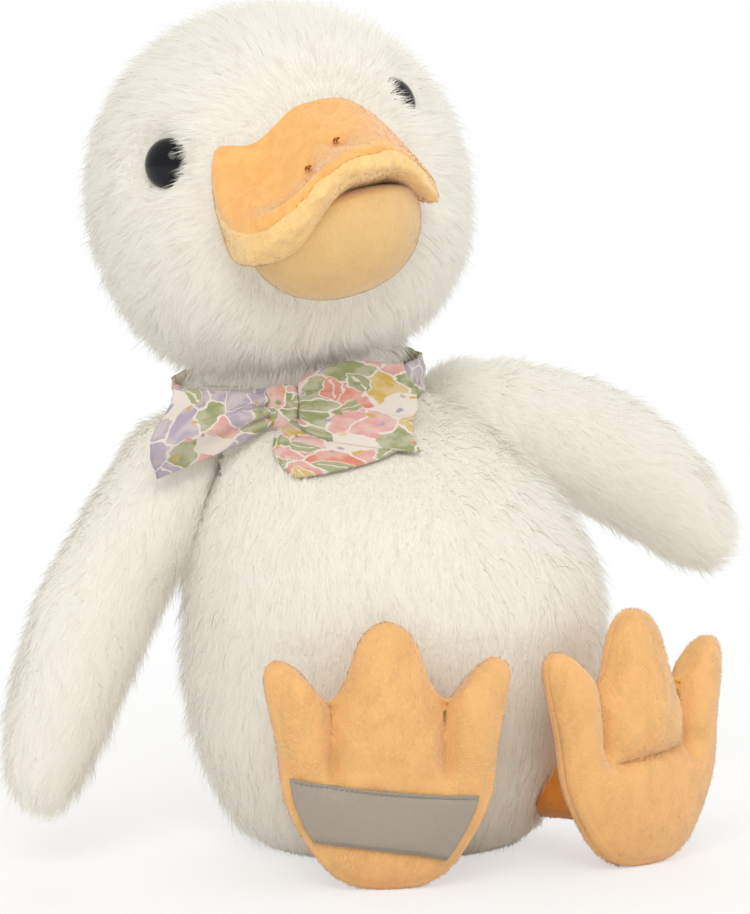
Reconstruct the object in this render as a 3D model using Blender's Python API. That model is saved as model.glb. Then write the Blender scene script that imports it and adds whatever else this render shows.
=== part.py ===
"""A seated plush duck, built as its sewn covers, its filling and its hard parts.

Metres, +Z up. The duck sits on z = 0 with the middle of its seat at the origin and faces -Y,
so its right side is at -X. Every soft form is a ball whose rings swell and taper.
"""

import bmesh
import bpy
from math import atan2, cos, hypot, pi, radians, sin, sqrt
from mathutils import Matrix, Vector

# Cloth, filling and clearances
PLUSH_WALL = 0.0060
SHORT_PILE_WALL = 0.0024
SEAM_GAP = 0.0003
FILL_GAP = 0.0007
JOINT_GAP = 0.0010
CUT_OVERRUN = 0.0200
MOUTH_OVERRUN = 0.0050
MERGE_DISTANCE = 0.00003

# Body, an egg that leans back and to its right
BODY_HALF_WIDTH = 0.0665
BODY_HALF_DEPTH = 0.0570
BELLY_HEIGHT = 0.0700
BODY_FALL = 0.0820
BODY_RISE = 0.0900
BODY_LEAN_SIDE = 0.0200
BODY_LEAN_BACK = 0.0340
SEAT_FULLNESS_SHARE = 2.35
SHOULDER_FULLNESS_SHARE = 2.05
BEAN_BAG_HEIGHT = 0.0300

# Neck, a filled ball that the head rocks and turns on
NECK_RISE = 0.0760
NECK_RADIUS = 0.0340
NECK_PLAY = 0.0050

# Head, in its own frame with the bill towards -Y
HEAD_HALF_WIDTH = 0.0570
HEAD_HALF_DEPTH = 0.0540
HEAD_HALF_HEIGHT = 0.0560
HEAD_FORWARD = 0.0090
HEAD_ASIDE = 0.0105
HEAD_LIFT = 0.0620
CHEEK_FULLNESS_SHARE = 2.40
CROWN_FULLNESS_SHARE = 2.00
HEAD_ROLL = radians(16)
HEAD_PITCH = radians(9)
HEAD_YAW = radians(-12)

# Eyes, domes on a shank that a washer grips behind the cloth
EYE_RADIUS = 0.0080
EYE_HALF_HEIGHT = 0.0062
EYE_BACK_HEIGHT = 0.0012
EYE_SINK = 0.0045
EYE_HOLLOW_RADIUS = 0.0105
EYE_ASIDE_SHARE = 0.69
EYE_FORWARD_SHARE = 0.60
EYE_UP_SHARE = 0.25
SHANK_RADIUS = 0.0021
SHANK_LENGTH = 0.0170
WASHER_RADIUS = 0.0085
WASHER_THICKNESS = 0.0020
WASHER_SLACK = 0.0004
WASHER_SET_BACK = 0.0026

# Upper bill, two cushions sewn along a wavy edge
BILL_LEVEL = -0.0100
BILL_LENGTH = 0.0390
BILL_ROOT_DEPTH = 0.0150
BILL_ROOT_HALF_WIDTH = 0.0360
BILL_TIP_HALF_WIDTH = 0.0245
BILL_ROOT_CROWN = 0.0420
BILL_TIP_CROWN = 0.0065
BILL_CROWN_SHARE = 1.80
BILL_LINING_THICKNESS = 0.0065
BILL_DROOP = 0.0190
BILL_DROOP_SHARE = 2.50
BILL_DROOP_TURN_SHARE = 1.50
BILL_DROOP_LEAD_SHARE = 0.20
LIP_OVERHANG = 0.0016
BILL_FULLNESS_SHARE = 3.30
NOSTRIL_ASIDE_SHARE = 0.19
NOSTRIL_FORWARD_SHARE = -0.32
NOSTRIL_LENGTH = 0.0056
NOSTRIL_WIDTH = 0.0016

# Lower bill
LOWER_BILL_ROOT_HALF_WIDTH = 0.0300
LOWER_BILL_TIP_HALF_WIDTH = 0.0240
LOWER_BILL_SETBACK = 0.0070
LOWER_BILL_DEPTH = 0.0240
LOWER_BILL_CROWN = 0.0060
LOWER_BILL_DROP = 0.0100
LOWER_BILL_FULLNESS_SHARE = 2.20
LOWER_BILL_BACK_REACH = 0.0072

# Wings, paddles hung from a ball at the shoulder
WING_LENGTH = 0.1120
WING_ROOT_RADIUS = 0.0165
WING_HALF_WIDTH = 0.0172
WING_HALF_DEPTH = 0.0135
WING_TIP_SHARE = 0.98
WING_ARCH = 0.0060
WING_FULLNESS_SHARE = 3.20
WING_SWELL_SHARE = 2.50
WING_STANDOFF = 0.0045
WING_MOUTH_RADIUS = 0.0050
WING_MOUTH_DEPTH = 0.0340
WING_RIGHT_RISE = 0.0500
WING_LEFT_RISE = 0.0650
WING_SPREAD = radians(28)
WING_FORWARD = radians(9)
WING_LEFT_RAISE = radians(36)
WING_LEFT_LOWER = radians(20)
WING_LEFT_SWEEP = radians(13)
WING_CLEARANCE = 0.0008

# Tail
TAIL_LENGTH = 0.0340
TAIL_HALF_WIDTH = 0.0170
TAIL_HALF_DEPTH = 0.0100
TAIL_HEIGHT = 0.0360
TAIL_RISE = radians(38)
TAIL_FULLNESS_SHARE = 2.20
TAIL_TAPER_SHARE = 0.25

# Legs
HIP_ASIDE = 0.0300
HIP_SHIFT = 0.0105
HIP_HEIGHT = 0.0205
HIP_RADIUS = 0.0112
HIP_SINK = 0.0040
ANKLE_ASIDE = 0.0400
ANKLE_HEIGHT = 0.0215
ANKLE_RADIUS = 0.0102
ANKLE_PLAY = 0.0012
ANKLE_GAP = 0.0005
LEG_MOUTH_RADIUS = 0.0045
LEG_REACH = 0.0210

# Feet, in a frame with the sole towards -Y and the toes up
FOOT_HALF_DEPTH = 0.0092
FOOT_CENTRE_DROP = 0.0070
HEEL_DROP = 0.0362
HEEL_HALF_WIDTH = 0.0170
HEEL_SIDE_DROP = 0.0315
PALM_HALF_WIDTH = 0.0300
PALM_SIDE_DROP = 0.0120
INSTEP_HALF_WIDTH = 0.0335
INSTEP_RISE = 0.0080
SIDE_TOE_ASIDE = 0.0370
SIDE_TOE_RISE = 0.0270
SIDE_TOE_TIP_ASIDE = 0.0335
SIDE_TOE_REACH = 0.0325
SIDE_TOE_INNER_ASIDE = 0.0276
SIDE_TOE_INNER_RISE = 0.0300
SIDE_TOE_ROOT_ASIDE = 0.0212
SIDE_TOE_ROOT_RISE = 0.0228
WEB_ASIDE = 0.0175
WEB_RISE = 0.0205
MIDDLE_TOE_ROOT_HALF_WIDTH = 0.0130
MIDDLE_TOE_ROOT_RISE = 0.0255
MIDDLE_TOE_HALF_WIDTH = 0.0075
MIDDLE_TOE_RISE = 0.0390
MIDDLE_TOE_REACH = 0.0435
CREASE_DEPTH_SHARE = 0.42
CREASE_HALF_WIDTH = 0.0040
CREASE_ROOT_RISE = -0.0060
FOOT_FULLNESS_SHARE = 2.40
FOOT_FILL_SLACK = 0.0014
ANKLE_DROP = 0.0135
FOOT_TURN = radians(16)
FOOT_LEAN = radians(4)
BAND_WIDTH = 0.0190
BAND_TOP_DROP = 0.0050
BAND_THICKNESS = 0.0008

# Neck ribbon and its bow
RIBBON_RADIUS = 0.0395
RIBBON_WIDTH = 0.0110
RIBBON_THICKNESS = 0.0016
RIBBON_FORWARD = 0.0020
RIBBON_DIP = radians(4)
RIBBON_ROLL = radians(8)
BOW_TURN = radians(29)
KNOT_HALF_WIDTH = 0.0065
KNOT_HALF_HEIGHT = 0.0075
KNOT_HALF_DEPTH = 0.0050
KNOT_FULLNESS_SHARE = 2.40
BOW_SWEEP_RADIUS = 0.2400
BOW_RIGHT_SPLAY = radians(40)
BOW_LEFT_SPLAY = radians(10)
BOW_RIGHT_FLARE_SHARE = 0.90
BOW_LEFT_FLARE_SHARE = 0.40
BOW_ROOT_HALF_HEIGHT = 0.0050
BOW_RIGHT_REACH = 0.0390
BOW_RIGHT_HALF_HEIGHT = 0.0135
BOW_RIGHT_FALL = 0.0010
BOW_LEFT_REACH = 0.0260
BOW_LEFT_HALF_HEIGHT = 0.0170
BOW_LEFT_FALL = 0.0040
BOW_FOLD_DEPTH = 0.0030
BOW_STANDOFF = 0.0030
BOW_CLOTH = 0.0014

ROUNDING_SHARE = 0.000001
SHARP_EDGE = radians(40)
RIGHT = -1
LEFT = 1
SIDE_NAMES = {RIGHT: "right", LEFT: "left"}

# Colours: fur, short pile of bill and feet, leg cloth, hard parts, cotton, satin, filling
WHITE_PLUSH = (0.86, 0.84, 0.79)
ORANGE_PILE = (0.86, 0.45, 0.14)
PALE_PILE = (0.86, 0.62, 0.28)
FOOT_PILE = (0.85, 0.47, 0.17)
LEG_PILE = (0.80, 0.30, 0.04)
EYE_BLACK = (0.010, 0.011, 0.016)
THREAD = (0.55, 0.20, 0.03)
COTTON = (0.82, 0.66, 0.62)
SATIN = (0.50, 0.47, 0.42)
FILLING = (0.80, 0.80, 0.78)
CLEAR_PLASTIC = (0.70, 0.72, 0.72)
PELLET_BAG = (0.62, 0.62, 0.58)


def clear_scene():
    for thing in list(bpy.data.objects):
        bpy.data.objects.remove(thing, do_unlink=True)


def finish_material(name, colour, roughness):
    material = bpy.data.materials.new(name)
    material.use_nodes = True
    shader = material.node_tree.nodes["Principled BSDF"]
    shader.inputs["Base Color"].default_value = (*colour, 1)
    shader.inputs["Roughness"].default_value = roughness
    shader.inputs["Metallic"].default_value = 0
    return material


def round_off(along, fullness):
    """How wide a ball with fuller or flatter ends is at a height from -1 to 1."""
    return (1 - min(1, abs(along)) ** fullness) ** (1 / fullness)


def object_from(name, bm):
    bmesh.ops.recalc_face_normals(bm, faces=bm.faces)
    if bm.calc_volume(signed=True) < 0:
        bmesh.ops.reverse_faces(bm, faces=bm.faces)
    mesh = bpy.data.meshes.new(name)
    bm.to_mesh(mesh)
    bm.free()
    piece = bpy.data.objects.new(name, mesh)
    bpy.context.scene.collection.objects.link(piece)
    return piece


def ball(name, shape, around, rings, place=Matrix()):
    """A closed ball whose points are put by shape(along, across_cos, across_sin).

    The rings start half a step round, so no row of points lies on the middle plane.
    """
    bm = bmesh.new()
    bmesh.ops.create_uvsphere(bm, u_segments=around, v_segments=rings, radius=1)
    for vert in bm.verts:
        across = hypot(vert.co.x, vert.co.y)
        turn = atan2(vert.co.y, vert.co.x) + pi / around
        along = vert.co.z
        if across < ROUNDING_SHARE:
            vert.co = place @ shape(along, 0, 0)
        else:
            vert.co = place @ shape(along, cos(turn), sin(turn))
    return object_from(name, bm)


def sphere(name, centre, radius, around=18, rings=10):
    def shape(along, c, s):
        across = sqrt(max(0, 1 - along * along))
        return Vector(centre) + radius * Vector((across * c, across * s, along))

    return ball(name, shape, around, rings)


def rod(name, start, end, radius, sides=20):
    """A straight closed cylinder between two points."""
    axis = Vector(end) - Vector(start)
    bm = bmesh.new()
    bmesh.ops.create_cone(
        bm, cap_ends=True, segments=sides, radius1=radius, radius2=radius, depth=axis.length
    )
    turn = axis.to_track_quat("Z", "Y").to_matrix().to_4x4()
    bm.transform(Matrix.Translation((Vector(start) + Vector(end)) / 2) @ turn)
    return object_from(name, bm)


def block(name, low, high, place=Matrix()):
    bm = bmesh.new()
    bmesh.ops.create_cube(bm, size=1)
    low, high = Vector(low), Vector(high)
    for vert in bm.verts:
        share = vert.co + Vector((0.5, 0.5, 0.5))
        vert.co = place @ (low + share * (high - low))
    return object_from(name, bm)


def settle(piece):
    """Turn a piece and its modifiers into a plain mesh."""
    bpy.context.view_layer.update()
    evaluated = piece.evaluated_get(bpy.context.evaluated_depsgraph_get())
    mesh = bpy.data.meshes.new_from_object(evaluated)
    piece.modifiers.clear()
    old = piece.data
    piece.data = mesh
    bpy.data.meshes.remove(old)


def combine(piece, other, operation, keep=False):
    """Join, cut or keep the common part, and settle the result in the piece's mesh."""
    modifier = piece.modifiers.new(operation.lower(), "BOOLEAN")
    modifier.operation = operation
    modifier.solver = "EXACT"
    modifier.object = other
    settle(piece)
    if not keep:
        bpy.data.objects.remove(other, do_unlink=True)


def cut(piece, *others):
    for other in others:
        combine(piece, other, "DIFFERENCE")


def join(piece, *others):
    for other in others:
        combine(piece, other, "UNION")


def keep_above(piece, height):
    """Cut a piece flat, so that nothing of it is lower than a height."""
    bm = bmesh.new()
    bm.from_mesh(piece.data)
    parts = bm.verts[:] + bm.edges[:] + bm.faces[:]
    done = bmesh.ops.bisect_plane(
        bm, geom=parts, plane_co=(0, 0, height), plane_no=(0, 0, -1), clear_outer=True
    )
    rim = [part for part in done["geom_cut"] if isinstance(part, bmesh.types.BMEdge)]
    bmesh.ops.contextual_create(bm, geom=rim)
    bmesh.ops.recalc_face_normals(bm, faces=bm.faces)
    bm.to_mesh(piece.data)
    bm.free()


def keep_below(piece, height):
    bm = bmesh.new()
    bm.from_mesh(piece.data)
    parts = bm.verts[:] + bm.edges[:] + bm.faces[:]
    done = bmesh.ops.bisect_plane(
        bm, geom=parts, plane_co=(0, 0, height), plane_no=(0, 0, 1), clear_outer=True
    )
    rim = [part for part in done["geom_cut"] if isinstance(part, bmesh.types.BMEdge)]
    bmesh.ops.contextual_create(bm, geom=rim)
    bmesh.ops.recalc_face_normals(bm, faces=bm.faces)
    bm.to_mesh(piece.data)
    bm.free()


def finish(piece, colour, roughness, pivot=(0, 0, 0)):
    """Give a piece its material and shading, and put its origin on its pivot."""
    piece.data.materials.clear()
    piece.data.materials.append(finish_material(piece.name + "_finish", colour, roughness))
    piece.data.shade_smooth()
    piece.data.set_sharp_from_angle(angle=SHARP_EDGE)
    piece.data.transform(Matrix.Translation(-Vector(pivot)))
    piece.location = pivot
    return piece


# Body

NECK_HEIGHT = BELLY_HEIGHT + NECK_RISE


def body_axis(height):
    share = max(0, (height - BELLY_HEIGHT) / (NECK_HEIGHT - BELLY_HEIGHT)) ** 2
    return -BODY_LEAN_SIDE * share, BODY_LEAN_BACK * share


def body_spread(height):
    """How wide the body is at a height, as a share of its widest section."""
    if height < BELLY_HEIGHT:
        return round_off((height - BELLY_HEIGHT) / BODY_FALL, SEAT_FULLNESS_SHARE)
    return round_off((height - BELLY_HEIGHT) / BODY_RISE, SHOULDER_FULLNESS_SHARE)


def body_form(name, grow, around=24, rings=16):
    def shape(along, c, s):
        if along < 0:
            fullness = SEAT_FULLNESS_SHARE
            height = BELLY_HEIGHT + (BODY_FALL + grow) * along
        else:
            fullness = SHOULDER_FULLNESS_SHARE
            height = BELLY_HEIGHT + (BODY_RISE + grow) * along
        spread = round_off(along, fullness)
        x, y = body_axis(height)
        wide = (BODY_HALF_WIDTH + grow) * spread
        deep = (BODY_HALF_DEPTH + grow) * spread
        return Vector((x + wide * c, y + deep * s, height))

    return ball(name, shape, around, rings)


def body_side(side, height):
    """The point of the body's surface furthest to one side at a height."""
    x, y = body_axis(height)
    return Vector((x + side * BODY_HALF_WIDTH * body_spread(height), y, height))


def body_front(x, height):
    """The point of the body's front surface at a place across and a height."""
    middle, y = body_axis(height)
    aside = (x - middle) / BODY_HALF_WIDTH
    reach = sqrt(max(0, body_spread(height) ** 2 - aside**2))
    return Vector((x, y - BODY_HALF_DEPTH * reach, height))


NECK_PIVOT = Vector((*body_axis(NECK_HEIGHT), NECK_HEIGHT))


def shoulder(side):
    height = BELLY_HEIGHT + (WING_RIGHT_RISE if side == RIGHT else WING_LEFT_RISE)
    return body_side(side, height) + Vector((side * WING_STANDOFF, 0, 0))


def hip(side):
    return body_front(HIP_SHIFT + side * HIP_ASIDE, HIP_HEIGHT) + Vector((0, HIP_SINK, 0))


def ankle(side):
    """Both ankles stand equally far forward, so both soles face the same way."""
    forward = (hip(RIGHT).y + hip(LEFT).y) / 2 - LEG_REACH
    return Vector((HIP_SHIFT + side * ANKLE_ASIDE, forward, ANKLE_HEIGHT))


def neck_pocket():
    return sphere("neck_pocket", NECK_PIVOT, NECK_RADIUS + JOINT_GAP)


def shoulder_pocket(side):
    return sphere("shoulder_pocket", shoulder(side), WING_ROOT_RADIUS + JOINT_GAP, 16, 10)


def hip_pocket(side):
    return sphere("hip_pocket", hip(side), HIP_RADIUS + JOINT_GAP, 14, 8)


def limb_pockets():
    sides = (RIGHT, LEFT)
    return [shoulder_pocket(side) for side in sides] + [hip_pocket(side) for side in sides]


def ribbon_place():
    """The ribbon's ring dips in front and towards the duck's right."""
    tilt = Matrix.Rotation(RIBBON_DIP, 4, "X") @ Matrix.Rotation(-RIBBON_ROLL, 4, "Y")
    return Matrix.Translation(NECK_PIVOT + Vector((0, -RIBBON_FORWARD, 0))) @ tilt


def ribbon_ring(name, inner, outer, half_height):
    """A band standing round the neck, spun from its section."""
    bm = bmesh.new()
    corners = [(inner, -half_height), (outer, -half_height), (outer, half_height), (inner, half_height)]
    verts = [bm.verts.new((x, 0, z)) for x, z in corners]
    edges = [bm.edges.new((verts[i], verts[(i + 1) % 4])) for i in range(4)]
    bmesh.ops.spin(
        bm, geom=verts + edges, axis=(0, 0, 1), cent=(0, 0, 0), steps=32, angle=2 * pi, use_merge=True
    )
    bmesh.ops.remove_doubles(bm, verts=bm.verts, dist=MERGE_DISTANCE)
    bm.transform(ribbon_place())
    return object_from(name, bm)


def make_body():
    cover = body_form("body_cover", 0)
    keep_above(cover, 0)
    hollow = body_form("body_hollow", -PLUSH_WALL, 16, 10)
    keep_above(hollow, PLUSH_WALL)
    groove = ribbon_ring(
        "ribbon_groove",
        RIBBON_RADIUS - SEAM_GAP,
        RIBBON_RADIUS + RIBBON_THICKNESS + CUT_OVERRUN,
        RIBBON_WIDTH / 2 + SEAM_GAP,
    )
    cut(cover, hollow, neck_pocket(), groove, head_form("head_room", NECK_PLAY), *limb_pockets())
    finish(cover, WHITE_PLUSH, 0.95)

    stuffing = body_form("body_stuffing", -PLUSH_WALL - FILL_GAP, 16, 10)
    keep_above(stuffing, BEAN_BAG_HEIGHT)
    cut(stuffing, neck_pocket(), head_form("head_room", NECK_PLAY), *limb_pockets())
    finish(stuffing, FILLING, 1)

    bag = body_form("bean_bag", -PLUSH_WALL - FILL_GAP, 16, 10)
    keep_above(bag, PLUSH_WALL + FILL_GAP)
    keep_below(bag, BEAN_BAG_HEIGHT - FILL_GAP)
    cut(bag, *[hip_pocket(side) for side in (RIGHT, LEFT)])
    finish(bag, PELLET_BAG, 0.8)


def make_tail():
    """A short pointed tuft at the back, sewn on low and turned up."""
    root = body_axis(TAIL_HEIGHT)[1] + BODY_HALF_DEPTH * body_spread(TAIL_HEIGHT)
    place = Matrix.Translation((0, root, TAIL_HEIGHT)) @ Matrix.Rotation(TAIL_RISE, 4, "X")

    def shape_of(grow):
        def shape(along, c, s):
            spread = round_off(along, TAIL_FULLNESS_SHARE) * (1 - TAIL_TAPER_SHARE * along)
            return Vector((
                (TAIL_HALF_WIDTH + grow) * spread * c,
                (TAIL_LENGTH + grow) * along,
                (TAIL_HALF_DEPTH + grow) * spread * s,
            ))
        return shape

    cover = ball("tail_cover", shape_of(0), 20, 12, place)
    filling = ball("tail_stuffing", shape_of(-SHORT_PILE_WALL - FILL_GAP), 16, 8, place)
    cut(cover, body_form("body_skin", SEAM_GAP))
    cut(cover, ball("tail_hollow", shape_of(-SHORT_PILE_WALL), 16, 8, place))
    cut(filling, body_form("body_skin", SEAM_GAP + FILL_GAP))
    finish(cover, WHITE_PLUSH, 0.95)
    finish(filling, FILLING, 1)


# Neck and head

def head_place():
    middle = NECK_PIVOT + Vector((-HEAD_ASIDE, -HEAD_FORWARD, HEAD_LIFT))
    turn = Matrix.Rotation(HEAD_YAW, 4, "Z") @ Matrix.Rotation(-HEAD_PITCH, 4, "X")
    return Matrix.Translation(middle) @ turn @ Matrix.Rotation(-HEAD_ROLL, 4, "Y")


def head_form(name, grow, around=24, rings=16):
    def shape(along, c, s):
        fullness = CHEEK_FULLNESS_SHARE if along < 0 else CROWN_FULLNESS_SHARE
        spread = round_off(along, fullness)
        return Vector((
            (HEAD_HALF_WIDTH + grow) * spread * c,
            (HEAD_HALF_DEPTH + grow) * spread * s,
            (HEAD_HALF_HEIGHT + grow) * along,
        ))

    return ball(name, shape, around, rings, head_place())


def eye_direction(side):
    return Vector((side * EYE_ASIDE_SHARE, -EYE_FORWARD_SHARE, EYE_UP_SHARE)).normalized()


def head_reach(direction, grow=0):
    """How far the head's surface is from its middle in a direction."""
    sizes = (HEAD_HALF_WIDTH + grow, HEAD_HALF_DEPTH + grow, HEAD_HALF_HEIGHT + grow)
    return 1 / sqrt(sum((part / size) ** 2 for part, size in zip(direction, sizes)))


def eye_form(name, side, grow):
    """A dome with a flat back, square to the head, on its shank."""
    direction = eye_direction(side)
    centre = direction * (head_reach(direction) - EYE_SINK)
    turn = direction.to_track_quat("Z", "Y").to_matrix().to_4x4()
    place = head_place() @ Matrix.Translation(centre) @ turn

    def shape(along, c, s):
        across = (EYE_RADIUS + grow) * sqrt(max(0, 1 - along * along))
        height = EYE_HALF_HEIGHT if along >= 0 else EYE_BACK_HEIGHT
        return Vector((across * c, across * s, (height + grow) * along))

    dome = ball(name, shape, 16, 8, place)
    shank_end = Vector((0, 0, -SHANK_LENGTH - grow))
    join(dome, rod("shank", place @ Vector((0, 0, 0)), place @ shank_end, SHANK_RADIUS + grow, 8))
    return dome


def washer_span(side):
    """Where the washer starts and ends, measured out from the head's middle."""
    direction = eye_direction(side)
    inside = head_reach(direction, -PLUSH_WALL)
    top = sqrt(inside**2 - WASHER_RADIUS**2) - WASHER_SET_BACK
    return top - WASHER_THICKNESS, top


def make_head():
    place = head_place()
    cover = head_form("head_cover", 0)
    cut(cover, head_form("head_hollow", -PLUSH_WALL, 16, 10), neck_pocket())
    stuffing = head_form("head_stuffing", -PLUSH_WALL - FILL_GAP, 16, 10)
    cut(stuffing, neck_pocket())
    for side, word in SIDE_NAMES.items():
        direction = eye_direction(side)
        cut(cover, eye_form("eye_pocket", side, SEAM_GAP))
        mouth = place @ (direction * head_reach(direction))
        cut(cover, sphere("eye_hollow", mouth, EYE_HOLLOW_RADIUS - EYE_SINK, 14, 8))
        low, high = washer_span(side)
        start = place @ (direction * (low - SHANK_LENGTH))
        end = place @ (direction * (high + CUT_OVERRUN))
        cut(stuffing, rod("washer_room", start, end, WASHER_RADIUS + FILL_GAP))
        eye = eye_form("eye_" + word, side, 0)
        finish(eye, EYE_BLACK, 0.08, NECK_PIVOT)
        washer = rod("eye_washer_" + word, place @ (direction * low), place @ (direction * high),
                     WASHER_RADIUS, 16)
        hole = rod("washer_hole", start, end, SHANK_RADIUS + WASHER_SLACK, 8)
        cut(washer, hole)
        finish(washer, CLEAR_PLASTIC, 0.35, NECK_PIVOT)
    finish(cover, WHITE_PLUSH, 0.95, NECK_PIVOT)
    finish(stuffing, FILLING, 1, NECK_PIVOT)
    neck = sphere("neck_stuffing", NECK_PIVOT, NECK_RADIUS)
    finish(neck, FILLING, 1, NECK_PIVOT)


# Bill

BILL_HALF_LENGTH = (BILL_LENGTH + BILL_ROOT_DEPTH) / 2
BILL_MIDDLE = HEAD_HALF_DEPTH - BILL_ROOT_DEPTH + BILL_HALF_LENGTH


def bill_point(u, v, grow):
    """A point of the wavy sheet between the two cushions: u across, v from root (1) to tip (-1)."""
    back = (1 + v) / 2
    width = BILL_TIP_HALF_WIDTH + (BILL_ROOT_HALF_WIDTH - BILL_TIP_HALF_WIDTH) * back
    aside, ahead = u * (width + grow), v * (BILL_HALF_LENGTH + grow)
    wave = max(0, cos(BILL_DROOP_TURN_SHARE * (ahead / BILL_HALF_LENGTH + BILL_DROOP_LEAD_SHARE)))
    droop = BILL_DROOP * abs(aside / BILL_ROOT_HALF_WIDTH) ** BILL_DROOP_SHARE * wave
    return Vector((aside, ahead - BILL_MIDDLE, BILL_LEVEL - droop))


def bill_crown(v):
    """How high the top of the bill stands over the sheet: steep at the face, thin at the tip."""
    back = max(0, (1 + v) / 2)
    return BILL_TIP_CROWN + (BILL_ROOT_CROWN - BILL_TIP_CROWN) * back**BILL_CROWN_SHARE


def bill_cushion(name, grow, above, below, around=24, rings=12):
    """Above is added to the crown, or is None for a cushion that is flat on top."""
    def shape(along, c, s):
        spread = round_off(along, BILL_FULLNESS_SHARE)
        u, v = spread * c, spread * s
        if along < 0:
            lift = below * along
        else:
            lift = 0 if above is None else (bill_crown(v) + above) * along
        return bill_point(u, v, grow) + Vector((0, 0, lift))

    return ball(name, shape, around, rings, head_place())


def lower_bill_form(name, grow, back, around=20, rings=12):
    half_length = BILL_HALF_LENGTH - LOWER_BILL_SETBACK / 2
    middle = BILL_MIDDLE - LOWER_BILL_SETBACK / 2
    taper = LOWER_BILL_ROOT_HALF_WIDTH - LOWER_BILL_TIP_HALF_WIDTH

    def shape(along, c, s):
        spread = round_off(along, LOWER_BILL_FULLNESS_SHARE)
        u, v = spread * c, spread * s
        width = LOWER_BILL_TIP_HALF_WIDTH + taper * (1 + v) / 2
        reach = half_length + grow + (back if v > 0 else 0)
        lift = (LOWER_BILL_CROWN + grow if along > 0 else LOWER_BILL_DEPTH + grow) * along
        return Vector((u * (width + grow), -middle + v * reach, BILL_LEVEL - LOWER_BILL_DROP + lift))

    return ball(name, shape, around, rings, head_place())


def make_bill():
    seam = SEAM_GAP / 2
    place = head_place()
    upper = bill_cushion("upper_bill", 0, 0, 0)
    lining = bill_cushion("upper_bill_lining", LIP_OVERHANG, None, BILL_LINING_THICKNESS)
    for piece, way in ((upper, 1), (lining, -1)):
        shift = place.to_3x3() @ Vector((0, 0, way * seam))
        piece.data.transform(Matrix.Translation(shift))
    inset = -SHORT_PILE_WALL - LIP_OVERHANG
    below = BILL_LINING_THICKNESS - SHORT_PILE_WALL
    for piece in (upper, lining):
        cut(piece, bill_cushion("bill_hollow", inset, -SHORT_PILE_WALL, below, 18, 8))
        cut(piece, head_form("head_skin", SEAM_GAP))
    fill = -SHORT_PILE_WALL - FILL_GAP
    filling = bill_cushion(
        "upper_bill_stuffing", inset - FILL_GAP * 2, fill - FILL_GAP, below - FILL_GAP * 2, 18, 8)
    cut(filling, head_form("head_skin", SEAM_GAP))

    lower = lower_bill_form("lower_bill", 0, 0)
    core = lower_bill_form(
        "lower_bill_stuffing", -SHORT_PILE_WALL - FILL_GAP, LOWER_BILL_BACK_REACH, 14, 8)
    lining_room = bill_cushion(
        "lining_room", LIP_OVERHANG + SEAM_GAP, 0, BILL_LINING_THICKNESS + SEAM_GAP * 2)
    for piece in (lower, core):
        cut(piece, head_form("head_skin", SEAM_GAP))
        combine(piece, lining_room, "DIFFERENCE", keep=True)
    bpy.data.objects.remove(lining_room, do_unlink=True)
    cut(lower, lower_bill_form("lower_hollow", -SHORT_PILE_WALL, LOWER_BILL_BACK_REACH, 14, 8))

    for side, word in SIDE_NAMES.items():
        u = side * NOSTRIL_ASIDE_SHARE
        rim = hypot(u, NOSTRIL_FORWARD_SHARE)
        crown = bill_crown(NOSTRIL_FORWARD_SHARE) * round_off(rim, BILL_FULLNESS_SHARE)
        centre = bill_point(u, NOSTRIL_FORWARD_SHARE, 0) + Vector((0, 0, crown))

        def stitch(name, grow):
            def shape(along, c, s):
                across = (NOSTRIL_WIDTH / 2 + grow) * sqrt(max(0, 1 - along * along))
                return Vector((across * c, (NOSTRIL_LENGTH / 2 + grow) * along, across * s))
            return ball(name, shape, 8, 6, place @ Matrix.Translation(centre))

        cut(upper, stitch("stitch_room", SEAM_GAP))
        finish(stitch("nostril_stitch_" + word, 0), THREAD, 0.8, NECK_PIVOT)

    finish(upper, ORANGE_PILE, 0.9, NECK_PIVOT)
    finish(lining, PALE_PILE, 0.9, NECK_PIVOT)
    finish(lower, PALE_PILE, 0.9, NECK_PIVOT)
    finish(filling, FILLING, 1, NECK_PIVOT)
    finish(core, FILLING, 1, NECK_PIVOT)


# Wings

def flap_axis(side):
    """A wing flaps about a line from front to back, turned where the wing is swept back."""
    sweep = WING_LEFT_SWEEP if side == LEFT else 0
    return Matrix.Rotation(sweep, 4, "Z") @ Vector((0, -side, 0))


def wing_place(side, lift):
    """A wing hangs with its tip spread from the body and a little forward, then is raised."""
    sweep = WING_LEFT_SWEEP if side == LEFT else 0
    turn = Matrix.Rotation(sweep, 4, "Z") @ Matrix.Rotation(-side * (WING_SPREAD + lift), 4, "Y")
    return Matrix.Translation(shoulder(side)) @ turn @ Matrix.Rotation(-WING_FORWARD, 4, "X")


def wing_form(name, side, lift, grow, root_end, around, rings):
    """A paddle that hangs from the root, arched away from the body."""
    def shape(along, c, s):
        if along >= 0:
            across = (WING_ROOT_RADIUS + grow) * sqrt(max(0, 1 - along * along))
            return Vector((across * c, across * s, root_end * along))
        down = -along
        spread = round_off(down, WING_FULLNESS_SHARE)
        swell = min(1, down * WING_SWELL_SHARE)
        swell = swell * swell * (3 - 2 * swell)
        tip = 1 - (1 - WING_TIP_SHARE) * down
        wide = (WING_ROOT_RADIUS + (WING_HALF_WIDTH - WING_ROOT_RADIUS) * swell) * tip + grow
        deep = (WING_ROOT_RADIUS + (WING_HALF_DEPTH - WING_ROOT_RADIUS) * swell) * tip + grow
        arch = side * WING_ARCH * sin(pi * down)
        return Vector((arch + wide * spread * c, deep * spread * s, -(WING_LENGTH + grow) * down))

    return ball(name, shape, around, rings, wing_place(side, lift))


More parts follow.
